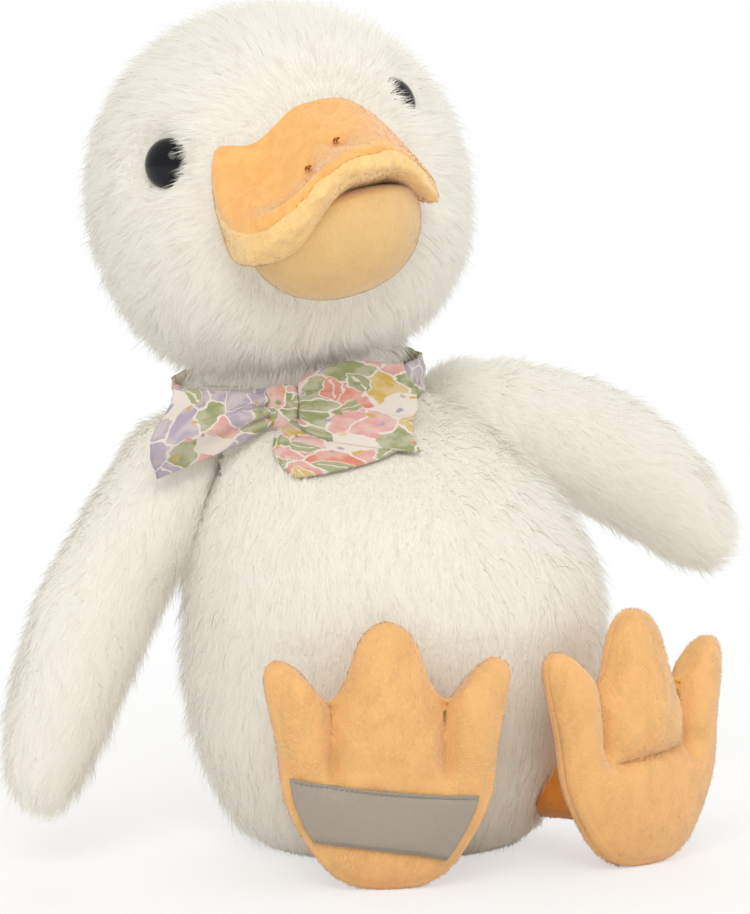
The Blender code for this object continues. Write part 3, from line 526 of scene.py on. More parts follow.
class Finish:
    """A material with one Principled shader, and the nodes that feed it."""

    def __init__(self, name):
        self.material = bpy.data.materials.new(name)
        self.material.use_nodes = True
        self.tree = self.material.node_tree
        self.shader = self.tree.nodes["Principled BSDF"]

    def node(self, kind, settings, values):
        """Add a node: its settings first, then the values or links of its sockets."""
        node = self.tree.nodes.new(kind)
        for name, value in settings.items():
            if name == "stops":
                ramp = node.color_ramp
                while len(ramp.elements) < len(value):
                    ramp.elements.new(1)
                for element, (place, colour) in zip(ramp.elements, value):
                    element.position = place
                    element.color = (*colour, 1)
            elif name == "steps":
                node.color_ramp.interpolation = value
            else:
                setattr(node, name, value)
        for name, value in values.items():
            self.feed(node.inputs[name], value)
        return node

    def feed(self, socket, value):
        if isinstance(value, Wire):
            self.tree.links.new(value.socket, socket)
        elif isinstance(value, bpy.types.NodeSocket):
            self.tree.links.new(value, socket)
        elif isinstance(value, (tuple, list)) and socket.type == "RGBA":
            socket.default_value = (*value, 1)
        else:
            socket.default_value = value

    def set(self, **values):
        """Feed the shader's own sockets."""
        for name, value in values.items():
            self.feed(self.shader.inputs[name.replace("_", " ").title()], value)
        return self

    def place(self):
        return self.node("ShaderNodeTexCoord", {}, {}).outputs["Object"]

    def attribute(self, name):
        node = self.node("ShaderNodeAttribute", {"attribute_name": name}, {})
        return Wire(self, node.outputs["Fac"])

    def grain(self, vector, size, detail=2.0, roughness=0.5, distortion=0.0):
        """Noise whose blotches are about a size across, from 0 to 1."""
        node = self.node(
            "ShaderNodeTexNoise", {},
            {"Vector": vector, "Scale": 1 / size, "Detail": detail,
             "Roughness": roughness, "Distortion": distortion},
        )
        return Wire(self, node.outputs["Fac"])

    def stretch(self, vector, scale, turn=(0, 0, 0)):
        node = self.node("ShaderNodeMapping", {}, {"Vector": vector, "Scale": scale, "Rotation": turn})
        return node.outputs["Vector"]

    def mix(self, share, first, second, blend="MIX"):
        """A colour between two colours."""
        node = self.node(
            "ShaderNodeMix",
            {"data_type": "RGBA", "blend_type": blend},
            {0: share, 6: first, 7: second},
        )
        return node.outputs[2]

    def bump(self, height, distance, strength=1.0):
        node = self.node(
            "ShaderNodeBump", {}, {"Height": height, "Distance": distance, "Strength": strength})
        self.feed(self.shader.inputs["Normal"], node.outputs["Normal"])
        return self


def shade(colour, factor):
    return tuple(min(1.0, part * factor) for part in colour)


def fur_finish(name, tip, root):
    """Blades that are warmer and darker at the root, as painted shade of the fur's depth, each of a slightly different
    tint.
    """
    finish = Finish(name)
    along = finish.attribute("along")
    tint = finish.attribute("tint")
    where = finish.place()
    blotch = finish.grain(where, 0.030, 3.0)
    pale = finish.mix(tint, shade(tip, 0.97), tip)
    warm = finish.mix(blotch.below(0.45, 0.12) * 0.35, pale, shade(tip, 0.965))
    # Painted shade: each blade is mixed towards the darker root colour near its root, since the blades cast no shadow.
    colour = finish.mix((along * 1.5).below(0.55, 0.5), warm, root)
    finish.set(base_color=colour, roughness=0.85 - tint * 0.15)
    finish.shader.inputs["Sheen Weight"].default_value = 0.30
    finish.shader.inputs["Sheen Roughness"].default_value = 0.55
    finish.shader.inputs["Specular IOR Level"].default_value = 0.25
    return finish.material


def undercoat_shade_finish(name, colour, root):
    """The dense woolly floor between the longer hairs, coloured as painted shade of the fur's depth."""
    finish = Finish(name)
    where = finish.place()
    tufts = finish.grain(finish.stretch(where, (1, 1, 0.35)), 0.0016, 3.0, 0.6, 0.6)
    fluff = finish.grain(where, 0.0060, 3.0)
    # Painted shade: the floor lies between the darker root colour and a near-tip colour, mottled by tufts.
    finish.set(base_color=finish.mix(tufts * 0.6 + fluff * 0.4, root, colour), roughness=0.95)
    finish.bump(tufts + fluff * 0.6, 0.0012)
    finish.shader.inputs["Sheen Weight"].default_value = 0.30
    finish.shader.inputs["Specular IOR Level"].default_value = 0.15
    return finish.material


def pile_finish(name, colour, brush_shade_colour, brushed=0.0050, depth=0.0003):
    """Short pile: brushed patches that catch the light, painted as patches of sheen and shade, and fine grain."""
    finish = Finish(name)
    where = finish.place()
    patches = finish.grain(finish.stretch(where, (1, 1, 0.55)), brushed, 3.0, 0.55, 0.8)
    hairs = finish.grain(finish.stretch(where, (1, 1, 0.45)), 0.00055, 2.0, 0.6)
    wide = finish.grain(where, 0.022, 2.0)
    # Painted sheen and shade: brushed patches are mixed towards the darker colour.
    brushed_sheen_shade = finish.mix(patches.below(0.50, 0.16) * 0.75, colour, brush_shade_colour)
    light = finish.mix(hairs.below(0.52, 0.12) * 0.28, brushed_sheen_shade, shade(colour, 1.16))
    toned = finish.mix(wide.below(0.5, 0.2) * 0.25, light, shade(colour, 0.94))
    finish.set(base_color=toned, roughness=0.80 + hairs * 0.15)
    finish.bump(hairs + patches * 1.3, depth)
    finish.shader.inputs["Sheen Weight"].default_value = 0.60
    finish.shader.inputs["Sheen Roughness"].default_value = 0.40
    finish.shader.inputs["Specular IOR Level"].default_value = 0.20
    return finish.material


def pile_hair_finish(name, colour, brush_shade_colour):
    """The single hairs of short pile, paler at their tips as painted highlight."""
    finish = Finish(name)
    along = finish.attribute("along")
    tint = finish.attribute("tint")
    patches = finish.grain(finish.place(), 0.0065, 3.0, 0.55, 0.8)
    # Painted sheen and shade: in the same brushed patches, the hairs are mixed towards the darker colour.
    base = finish.mix(patches.below(0.50, 0.14) * 0.70, colour, brush_shade_colour)
    varied = finish.mix(tint * 0.35, base, shade(colour, 1.10))
    # Painted highlight: each hair is mixed towards a paler colour at its tip.
    finish.set(base_color=finish.mix(along * 0.35, varied, shade(colour, 1.12)), roughness=0.85)
    finish.shader.inputs["Sheen Weight"].default_value = 0.35
    finish.shader.inputs["Specular IOR Level"].default_value = 0.20
    return finish.material


def eye_finish(name, colour):
    finish = Finish(name)
    dust = finish.grain(finish.place(), 0.0012, 2.0)
    finish.set(base_color=colour, roughness=dust * 0.06 + 0.05)
    finish.shader.inputs["Coat Weight"].default_value = 0.20
    finish.shader.inputs["Coat Roughness"].default_value = 0.03
    finish.shader.inputs["Specular IOR Level"].default_value = 0.20
    return finish.material


def thread_finish(name, colour):
    finish = Finish(name)
    where = finish.place()
    twist = finish.grain(finish.stretch(where, (1, 1, 1), (0.6, 0.4, 0.2)), 0.0003, 2.0)
    finish.set(base_color=finish.mix(twist, shade(colour, 0.7), colour), roughness=0.75)
    finish.bump(twist, 0.0001)
    return finish.material


def weave(finish, where, pitch):
    """Threads over and under each other on a flat map: how high the cloth is, from 0 to 1."""
    split = finish.node("ShaderNodeSeparateXYZ", {}, {0: where})
    across = Wire(finish, split.outputs[0]) * (2 * pi / pitch)
    along = Wire(finish, split.outputs[1]) * (2 * pi / pitch)
    return (across.sine() * along.sine()) * 0.5 + 0.5


def satin_finish(name, colour):
    """Bare satin ribbon: fine cross ribs, a slow sheen painted into the colour, and two edges of darker thread."""
    finish = Finish(name)
    flat = finish.node("ShaderNodeUVMap", {"uv_map": "cut"}, {}).outputs["UV"]
    split = finish.node("ShaderNodeSeparateXYZ", {}, {0: flat})
    along, across = Wire(finish, split.outputs[0]), Wire(finish, split.outputs[1])
    ribs = ((along * (2 * pi / 0.00042)).sine() * 0.5 + 0.5)
    slub_and_sheen = finish.grain(finish.stretch(flat, (1, 6, 1)), 0.0030, 3.0)
    edge = abs(across - BAND_WIDTH / 2).maths("SUBTRACT", BAND_WIDTH / 2, abs(across - BAND_WIDTH / 2))
    selvedge = edge.below(0.0011, 0.0003)
    # Painted sheen: slow lighter and darker streaks along the ribbon, from a slub grain that also gives a bump.
    tone = finish.mix(slub_and_sheen * 0.5 + ribs * 0.25, shade(colour, 0.86), shade(colour, 1.12))
    finish.set(
        base_color=finish.mix(selvedge * 0.45, tone, shade(colour, 0.70)),
        roughness=0.42 + ribs * 0.15,
    )
    finish.bump(ribs * 0.6 + slub_and_sheen, 0.00012)
    finish.shader.inputs["Sheen Weight"].default_value = 0.20
    finish.shader.inputs["Anisotropic"].default_value = 0.4
    return finish.material


def printed_cotton_finish(name, ground, colours, motif):
    """A plain all-over print of leaves, berries and small rings on pale cotton."""
    finish = Finish(name)
    flat = finish.node("ShaderNodeUVMap", {"uv_map": "cut"}, {}).outputs["UV"]
    wobble = finish.node("ShaderNodeTexNoise", {}, {"Vector": flat, "Scale": 1 / (motif * 0.6)})
    shifted = finish.node(
        "ShaderNodeVectorMath", {"operation": "MULTIPLY_ADD"},
        {0: wobble.outputs["Color"], 1: (motif * 0.55,) * 3, 2: flat},
    ).outputs[0]

    def palette(chance, order):
        pots = [*colours, ground]
        stops = [(index / len(order), pots[pick]) for index, pick in enumerate(order)]
        ramp = finish.node("ShaderNodeValToRGB", {"stops": stops, "steps": "CONSTANT"}, {0: chance})
        return ramp.outputs[0]

    def scatter(size, offset, randomness=1.0):
        """The nearest motif's middle: the place from it as x and y, and two random numbers."""
        moved = finish.node(
            "ShaderNodeVectorMath", {"operation": "ADD"}, {0: shifted, 1: (offset, offset * 0.7, 0)}
        ).outputs[0]
        cells = finish.node(
            "ShaderNodeTexVoronoi", {"voronoi_dimensions": "2D"},
            {"Vector": moved, "Scale": 1 / size, "Randomness": randomness},
        )
        away = finish.node(
            "ShaderNodeVectorMath", {"operation": "SUBTRACT"},
            {0: moved, 1: cells.outputs["Position"]},
        ).outputs[0]
        place = finish.node("ShaderNodeSeparateXYZ", {}, {0: away})
        chance = finish.node("ShaderNodeSeparateColor", {}, {0: cells.outputs["Color"]})
        return (
            Wire(finish, place.outputs[0]), Wire(finish, place.outputs[1]),
            Wire(finish, chance.outputs[0]), Wire(finish, chance.outputs[1]),
        )

    wash = finish.grain(flat, motif * 0.7, 3.0)
    sides = finish.node("ShaderNodeSeparateXYZ", {}, {0: flat})
    warm_side = 1 - Wire(finish, sides.outputs[0]).below(0.160, 0.012)
    pebbles = {"Vector": shifted, "Scale": 1 / motif, "Randomness": 0.9}
    cells = finish.node("ShaderNodeTexVoronoi", {"voronoi_dimensions": "2D"}, pebbles)
    edges = finish.node(
        "ShaderNodeTexVoronoi", {"voronoi_dimensions": "2D", "feature": "DISTANCE_TO_EDGE"}, pebbles)
    pick = Wire(finish, finish.node(
        "ShaderNodeSeparateColor", {}, {0: cells.outputs["Color"]}).outputs[0])
    cool = palette(pick, (2, 5, 3, 2, 3, 0, 2))
    warm = palette(pick, (0, 4, 1, 3, 0, 5, 3))
    printed = finish.mix(warm_side, cool, warm)
    printed = finish.mix(wash.below(0.50, 0.10) * 0.40, printed, shade(ground, 1.02))
    inside = 1 - Wire(finish, edges.outputs["Distance"]).below(0.040, 0.02)
    colour = finish.mix(inside, ground, printed)

    x, y, pick, chance = scatter(motif * 1.35, 0.013)
    turn = chance * (2 * pi)
    ahead = x * turn.cosine() + y * turn.sine()
    aside = y * turn.cosine() - x * turn.sine()
    half_length, half_width = motif * 0.56, motif * 0.30
    side = 1 - (ahead / half_length) ** 2
    leaf = (abs(aside) / half_width - side).below(0, 0.06)
    outline = (abs(abs(aside) / half_width - side)).below(0.09, 0.05)
    vein = (abs(aside) / half_width).below(0.10, 0.05) * (abs(ahead) / half_length).below(0.7, 0.1)
    shown = chance.below(0.62, 0.01)
    leaf, outline, vein = leaf * shown, outline * shown, vein * shown
    leaf_colour = finish.mix(wash * 0.35, palette(pick, (3, 4, 3, 1, 2, 3)), ground)
    colour = finish.mix(leaf, colour, leaf_colour)
    veined = (vein * leaf).maths("MAXIMUM", vein * leaf, outline)
    colour = finish.mix(veined * 0.85, colour, shade(ground, 1.02))

    x, y, pick, chance = scatter(motif * 0.62, 0.041)
    far = (x * x + y * y) ** 0.5 / (motif * 0.62)
    berry = far.below(0.16, 0.03) * chance.below(0.40, 0.02)
    colour = finish.mix(berry, colour, palette(pick, (1, 4, 0, 2, 3)))

    threads = weave(finish, flat, 0.00044)
    faded = finish.mix(threads * 0.10, colour, shade(ground, 0.80))
    finish.set(base_color=faded, roughness=0.86 + threads * 0.08)
    finish.bump(threads + wash * 0.3, 0.00009)
    finish.shader.inputs["Sheen Weight"].default_value = 0.15
    finish.shader.inputs["Specular IOR Level"].default_value = 0.25
    return finish.material


# Fur

def skin_points(mesh, count, seed):
    """Random roots spread evenly over a skin, with its normal at each."""
    mesh.calc_loop_triangles()
    places = np.empty(len(mesh.vertices) * 3)
    mesh.vertices.foreach_get("co", places)
    places = places.reshape(-1, 3)
    normals = np.empty(len(mesh.vertices) * 3)
    mesh.vertices.foreach_get("normal", normals)
    normals = normals.reshape(-1, 3)
    corners = np.empty(len(mesh.loop_triangles) * 3, np.int64)
    mesh.loop_triangles.foreach_get("vertices", corners)
    corners = corners.reshape(-1, 3)
    a, b, c = (places[corners[:, i]] for i in range(3))
    areas = np.linalg.norm(np.cross(b - a, c - a), axis=1)
    chance = np.random.default_rng(seed)
    picked = chance.choice(len(corners), size=count, p=areas / areas.sum())
    first, second = chance.random(count), chance.random(count)
    over = first + second > 1
    first[over], second[over] = 1 - first[over], 1 - second[over]
    weights = np.stack([1 - first - second, first, second], 1)[:, :, None]
    roots = (places[corners[picked]] * weights).sum(1)
    outward = (normals[corners[picked]] * weights).sum(1)
    return roots, unit(outward)


def unit(vectors):
    return vectors / np.maximum(np.linalg.norm(vectors, axis=-1, keepdims=True), 1e-9)


def swirl(roots, size, seed):
    """A slow wandering vector for each root."""
    shift = Vector((seed * 1.7, seed * 0.9, seed * 2.3))
    return np.array([noise.noise_vector(Vector(root) / size + shift)[:] for root in roots])


def grow_hairs(
    name, skin, count, seed, length, width, flow, lengths, finish, stand=0.50, clump=0.006,
    gather=0.22, shade_share=0.72, rows=3,
):
    """Thin tapered blades on a skin. flow(roots) is where they lie, lengths(roots) how long."""
    roots, outward = skin_points(skin.data, count, seed)
    long = lengths(roots)
    keep = long > 0.02
    roots, outward, long = roots[keep], outward[keep], long[keep]
    count = len(roots)
    chance = np.random.default_rng(seed + 1)
    heading = flow(roots) + swirl(roots, 0.022, seed) * 0.60 + swirl(roots, 0.006, seed + 5) * 0.50
    heading -= outward * (heading * outward).sum(1, keepdims=True)
    heading = unit(heading + outward * 1e-6)
    long = long * length * (0.72 + 0.42 * chance.random(count))
    lean = np.clip(stand + 0.16 * chance.standard_normal(count), 0.12, 0.98)[:, None]
    steps = np.linspace(0, 1, rows + 1)
    rise = np.sin(steps * 1.35) / 1.25
    run = steps**1.6
    bend = chance.standard_normal((count, 3)) * 0.12
    spine = (
        roots[:, None, :]
        + long[:, None, None] * (
            outward[:, None, :] * (lean[:, :, None] * rise[None, :, None])
            + heading[:, None, :] * (np.sqrt(1 - lean**2)[:, :, None] * run[None, :, None])
            + bend[:, None, :] * (steps**2)[None, :, None]
        )
    )
    if gather:
        area = sum(face.area for face in skin.data.polygons)
        tufts = max(2, int(area / (clump * clump)))
        leaders = chance.choice(count, size=min(tufts, count), replace=False)
        tree = kdtree.KDTree(len(leaders))
        for index, leader in enumerate(leaders):
            tree.insert(Vector(roots[leader]), index)
        tree.balance()
        whose = np.array([leaders[tree.find(Vector(root))[1]] for root in roots])
        pull = (steps**1.5)[None, :, None] * gather
        pull = pull * (0.5 + 0.7 * chance.random(count))[:, None, None]
        spine += (spine[whose] - spine) * np.clip(pull, 0, 0.9)
    ahead = unit(spine[:, rows] - spine[:, 0])
    facing = unit(outward + chance.standard_normal((count, 3)) * 0.45)
    across = unit(np.cross(ahead, facing))
    across *= np.sign((np.cross(across, ahead) * outward).sum(1, keepdims=True) + 1e-9)
    wide = width * (0.75 + 0.5 * chance.random(count))[:, None]
    corners = np.empty((count, rows * 2 + 1, 3))
    for row in range(rows):
        share = 0.5 - 0.22 * row / (rows - 1)
        corners[:, row * 2] = spine[:, row] - across * wide * share
        corners[:, row * 2 + 1] = spine[:, row] + across * wide * share
    corners[:, rows * 2] = spine[:, rows]
    blade = unit(np.cross(across, ahead))
    soft = unit(outward * shade_share + blade * (1 - shade_share) + ahead * 0.12)
    return blades(name, corners, soft, chance, finish)


def blades(name, corners, soft, chance, finish):
    """One mesh of all the blades, each of quads and a tip, with its own patch of the map."""
    count, size = corners.shape[:2]
    rows = (size - 1) // 2
    mesh = bpy.data.meshes.new(name)
    mesh.vertices.add(count * size)
    mesh.vertices.foreach_set("co", corners.ravel())
    pattern, starts, steps = [], [], []
    for row in range(rows - 1):
        starts.append(len(pattern))
        pattern += [row * 2, row * 2 + 1, row * 2 + 3, row * 2 + 2]
    starts.append(len(pattern))
    pattern += [size - 3, size - 2, size - 1]
    order = np.tile(np.array(pattern), (count, 1))
    for start, end in zip(starts, [*starts[1:], len(pattern)]):
        a, b, c = (corners[:, pattern[start + step]] for step in range(3))
        turned_in = (np.cross(b - a, c - b) * soft).sum(1) < 0
        order[turned_in, start + 1:end] = order[turned_in, start + 1:end][:, ::-1]
    loops = (order + np.arange(count)[:, None] * size).ravel()
    mesh.loops.add(len(loops))
    mesh.loops.foreach_set("vertex_index", loops)
    faces = (np.array(starts)[None, :] + np.arange(count)[:, None] * len(pattern)).ravel()
    mesh.polygons.add(len(faces))
    mesh.polygons.foreach_set("loop_start", faces)
    mesh.update(calc_edges=True)
    mesh.shade_smooth()
    height = np.repeat(np.linspace(0, 1, rows + 1), 2)[:size]
    along = mesh.attributes.new("along", "FLOAT", "POINT")
    along.data.foreach_set("value", np.tile(height, count).astype(np.float32))
    tint = mesh.attributes.new("tint", "FLOAT", "POINT")
    tint.data.foreach_set("value", np.repeat(chance.random(count), size).astype(np.float32))
    cells = int(np.ceil(np.sqrt(count)))
    index = np.arange(count)
    corner = np.stack([index % cells, index // cells], 1)[:, None, :] + 0.12
    aside = np.tile([0, 0.76], rows + 1)[:size]
    aside[-1] = 0.38
    spot = np.stack([aside, height * 0.76], 1)[order]
    patch = (corner + spot) / cells
    layer = mesh.uv_layers.new(name="OFBake")
    layer.uv.foreach_set("vector", patch.ravel().astype(np.float32))
    mesh.normals_split_custom_set_from_vertices(np.repeat(soft, size, axis=0).tolist())
    piece = bpy.data.objects.new(name, mesh)
    # Light passes between real hairs, which are far thinner, so the blades shade nothing.
    piece.visible_shadow = False
    piece.visible_diffuse = False
    bpy.context.scene.collection.objects.link(piece)
    piece.data.materials.append(finish)
    return piece


def distance_to(roots, point):
    return np.linalg.norm(roots - np.array(point), axis=1)


def in_frame(place, roots):
    """Roots as seen from the frame of a place."""
    back = np.array(place.inverted())
    return roots @ back[:3, :3].T + back[:3, 3]


def turned(place, vectors):
    return vectors @ np.array(place)[:3, :3].T


def body_reach(roots, margin):
    """How far roots lie from the body's axis, where 1 is its skin swollen by a margin."""
    heights = np.clip(roots[:, 2], 0.001, BELLY_HEIGHT + BODY_RISE - 0.001)
    spreads = np.array([body_spread(height) for height in heights])
    axes = np.array([body_axis(height) for height in heights])
    reach = np.hypot(
        (roots[:, 0] - axes[:, 0]) / (BODY_HALF_WIDTH * spreads + margin),
        (roots[:, 1] - axes[:, 1]) / (BODY_HALF_DEPTH * spreads + margin))
    return np.where(roots[:, 2] < BELLY_HEIGHT + BODY_RISE, reach, 2)


def in_upper_bill(x, y, z, grow):
    """Whether points of the head's frame lie in the upper bill, swollen by grow."""
    v = np.clip((y + BILL_MIDDLE) / (BILL_HALF_LENGTH + grow), -1, 0.80)
    width = BILL_TIP_HALF_WIDTH + (BILL_ROOT_HALF_WIDTH - BILL_TIP_HALF_WIDTH) * (1 + v) / 2 + grow
    across = np.hypot(x / width, v)
    high = (1 - np.clip(across, 0, 1) ** BILL_FULLNESS) ** (1 / BILL_FULLNESS)
    high = high ** bill_squareness(x / width)
    level = BILL_LEVEL - bill_droop(x, v)
    crown = BILL_TIP_CROWN + (BILL_ROOT_CROWN - BILL_TIP_CROWN) * ((1 + v) / 2) ** 1.8
    return (
        (across < 1) & (y < 0)
        & (z < level + (crown + grow) * high) & (z > level - BILL_LINING_THICKNESS * high - grow)
    )


def in_lower_bill(x, y, z, grow):
    """Whether points of the head's frame lie in the lower bill, swollen by grow."""
    reach = BILL_HALF_LENGTH - LOWER_BILL_SETBACK / 2 + grow
    v = np.clip((y + BILL_MIDDLE - LOWER_BILL_SETBACK / 2) / reach, -1, 0.70)
    taper = (LOWER_BILL_ROOT_HALF_WIDTH - LOWER_BILL_TIP_HALF_WIDTH) * (1 + v) / 2
    across = np.hypot(x / (LOWER_BILL_TIP_HALF_WIDTH + taper + grow), v)
    low = (1 - np.clip(across, 0, 1) ** LOWER_BILL_FULLNESS) ** (1 / LOWER_BILL_FULLNESS)
    down = BILL_LEVEL - LOWER_BILL_DROP - z
    return (across < 1) & (y < 0) & (down > -0.008) & (down < (LOWER_BILL_DEPTH + grow) * low)


# What the pieces are made to

class DUCK_PG_fur(bpy.types.PropertyGroup):
    """The long pile of the head, body, wings and tail."""

    length: FloatProperty(
        name="Length", description="Length of a hair", default=0.0100, min=0.002, max=0.02,
        subtype="DISTANCE", unit="LENGTH", precision=4)
    width: FloatProperty(
        name="Width", description="Width of a hair at its root", default=0.00024, min=0.0001,
        max=0.001, subtype="DISTANCE", unit="LENGTH", precision=5)
    hairs: IntProperty(
        name="Hairs", description="Hairs on each fur piece of the head and body",
        default=39800, min=100, max=39900)
    tip_colour: FloatVectorProperty(
        name="Tip colour", description="Colour of the outer fur", subtype="COLOR",
        default=(0.86, 0.84, 0.75), min=0, max=1)
    # Painted shade: the root colour is the darker shade deep in the fur.
    root_shade_colour: FloatVectorProperty(
        name="Root colour", description="Colour deep in the fur", subtype="COLOR",
        default=(0.78, 0.735, 0.63), min=0, max=1)


class DUCK_PG_bill(bpy.types.PropertyGroup):
    """The short pile of the bill."""

    colour: FloatVectorProperty(
        name="Upper colour", description="Colour of the upper bill", subtype="COLOR",
        default=(0.93, 0.51, 0.17), min=0, max=1)
    lip_colour: FloatVectorProperty(
        name="Lip colour", description="Colour of the lip and its lining", subtype="COLOR",
        default=(0.93, 0.635, 0.275), min=0, max=1)
    # Partly the lower bill's own colour and partly painted shade: darkened as the underside that faces away from the
    # light.
    lower_colour_and_shade: FloatVectorProperty(
        name="Lower colour", description="Colour of the lower bill", subtype="COLOR",
        default=(0.75, 0.50, 0.22), min=0, max=1)
    thread_colour: FloatVectorProperty(
        name="Thread colour", description="Colour of the nostril stitches", subtype="COLOR",
        default=(0.50, 0.17, 0.03), min=0, max=1)
    pile: FloatProperty(
        name="Pile", description="Length of the short pile", default=0.0020, min=0.0005,
        max=0.004, subtype="DISTANCE", unit="LENGTH", precision=4)


class DUCK_PG_foot(bpy.types.PropertyGroup):
    """Feet, legs and the band on one foot."""

    colour: FloatVectorProperty(
        name="Foot colour", description="Colour of the feet", subtype="COLOR",
        default=(0.82, 0.465, 0.185), min=0, max=1)
    leg_colour: FloatVectorProperty(
        name="Leg colour", description="Colour of the legs", subtype="COLOR",
        default=(0.84, 0.30, 0.035), min=0, max=1)
    band_colour: FloatVectorProperty(
        name="Band colour", description="Colour of the satin band", subtype="COLOR",
        default=(0.385, 0.335, 0.270), min=0, max=1)
    pile: FloatProperty(
        name="Pile", description="Length of the short pile", default=0.0018, min=0.0005,
        max=0.004, subtype="DISTANCE", unit="LENGTH", precision=4)


class DUCK_PG_eye(bpy.types.PropertyGroup):
    """The two domed eyes."""

    colour: FloatVectorProperty(
        name="Colour", description="Colour of the eyes", subtype="COLOR",
        default=(0.004, 0.004, 0.007), min=0, max=1)


class DUCK_PG_bow(bpy.types.PropertyGroup):
    """The printed cotton of the ribbon and bow."""

    ground: FloatVectorProperty(
        name="Ground", description="Colour of the unprinted cotton", subtype="COLOR",
        default=(0.80, 0.74, 0.66), min=0, max=1)
    pink: FloatVectorProperty(
        name="Pink", description="First print colour", subtype="COLOR",
        default=(0.74, 0.37, 0.34), min=0, max=1)
    coral: FloatVectorProperty(
        name="Coral", description="Second print colour", subtype="COLOR",
        default=(0.72, 0.22, 0.15), min=0, max=1)
    lilac: FloatVectorProperty(
        name="Lilac", description="Third print colour", subtype="COLOR",
        default=(0.44, 0.38, 0.48), min=0, max=1)
    sage: FloatVectorProperty(
        name="Sage", description="Fourth print colour", subtype="COLOR",
        default=(0.30, 0.34, 0.14), min=0, max=1)
    mustard: FloatVectorProperty(
        name="Mustard", description="Fifth print colour", subtype="COLOR",
        default=(0.66, 0.44, 0.08), min=0, max=1)
    motif: FloatProperty(
        name="Motif size", description="Size of one leaf of the print", default=0.0085,
        min=0.002, max=0.02, subtype="DISTANCE", unit="LENGTH", precision=4)


class DUCK_PG_stage(bpy.types.PropertyGroup):
    """Floor, lights and camera."""

    azimuth: FloatProperty(
        name="Azimuth", description="Camera's turn about the duck", default=radians(-24),
        subtype="ANGLE", unit="ROTATION")
    elevation: FloatProperty(
        name="Elevation", description="Camera's height angle", default=radians(4),
        subtype="ANGLE", unit="ROTATION")
    distance: FloatProperty(
        name="Distance", description="Camera's distance", default=0.95, min=0.2, max=5,
        subtype="DISTANCE", unit="LENGTH")
    lens: FloatProperty(
        name="Lens", description="Focal length in millimetres", default=116, min=20, max=300)
    floor_colour: FloatVectorProperty(
        name="Floor", description="Colour of the floor", subtype="COLOR",
        default=(0.90, 0.89, 0.88), min=0, max=1)


GROUPS = {
    "duck_fur": DUCK_PG_fur,
    "duck_bill": DUCK_PG_bill,
    "duck_foot": DUCK_PG_foot,
    "duck_eye": DUCK_PG_eye,
    "duck_bow": DUCK_PG_bow,
    "duck_stage": DUCK_PG_stage,
}


# What the pieces share

def hair_count(full):
    return full


def seat_piece(piece, body, nodes, finish):
    """Give a piece its finish, its body and the nodes that it stands for."""
    if finish is not None:
        piece.data.materials.append(finish)
    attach(piece, body)
    if nodes:
        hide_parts(*nodes)
    return piece


def fur_materials(fur):
    hair = bpy.data.materials.get("white_fur") or fur_finish(
        "white_fur", tuple(fur.tip_colour), tuple(fur.root_shade_colour))
    shaded_wool = bpy.data.materials.get("white_undercoat_shade") or undercoat_shade_finish(
        "white_undercoat_shade", shade(fur.tip_colour, 0.97), tuple(fur.root_shade_colour))
    return hair, shaded_wool


class DUCK_OT_head(bpy.types.Operator):
    """Make the head's skin and its fur, which parts round the bill and the eyes."""

    bl_idname = "duck.make_head"
    bl_label = "Make Head"

    def execute(self, context):
        fur = context.scene.duck_fur
        hair, shaded_wool = fur_materials(fur)
        mouths = [eye_mouth(side) for side in (RIGHT, LEFT)]
        bm = ball_mesh(head_shape(0.0008), 112, 72)
        centre = HEAD_PLACE @ Vector((0, 0, 0))
        for vert in bm.verts:
            for mouth, sink in zip(mouths, (0.0048, 0.0012)):
                near = float(1 - smooth_step((vert.co - mouth).length, 0.0080, 0.0150))
                vert.co -= (vert.co - centre).normalized() * (sink * near)
        dent(bm, centre, [in_ball(NECK_PIVOT, NECK_RADIUS + 0.0010)])
        skin = object_from("head_plush", bm)

        def lengths(roots):
            x, y, z = in_frame(HEAD_PLACE, roots).T
            long = np.ones(len(roots))
            for mouth, bare in zip(mouths, (0.0080, 0.0052)):
                far = distance_to(roots, mouth)
                long *= np.where(far < bare, 0, 0.34 + 0.66 * smooth_step(far, bare, bare + 0.010))
            near = in_upper_bill(x, y, z, 0.0045) | in_lower_bill(x, y, z, 0.0045)
            long = np.where(near, long * 0.60, long)
            hidden = in_upper_bill(x, y, z, -0.0006) | in_lower_bill(x, y, z, -0.0006)
            hidden |= distance_to(roots, NECK_PIVOT) < NECK_RADIUS + 0.004
            return np.where(hidden, 0, long)

        def flow(roots):
            local = in_frame(HEAD_PLACE, roots)
            away = unit(local - np.array((0, -0.050, BILL_LEVEL)))
            return unit(turned(HEAD_PLACE, away) + np.array((0, 0.15, -0.55)))

        seat_piece(skin, "head", ["head_cover", "head_stuffing"], shaded_wool)
        for name, front, seed in (("head_fur_front", True, 11), ("head_fur_back", False, 17)):
            def half(roots, front=front):
                ahead = in_frame(HEAD_PLACE, roots)[:, 1] < 0.002
                return np.where(ahead == front, lengths(roots), 0)

            coat = grow_hairs(
                name, skin, hair_count(fur.hairs * 2), seed, fur.length, fur.width, flow, half,
                hair)
            seat_piece(coat, "head", [], None)
        return {"FINISHED"}


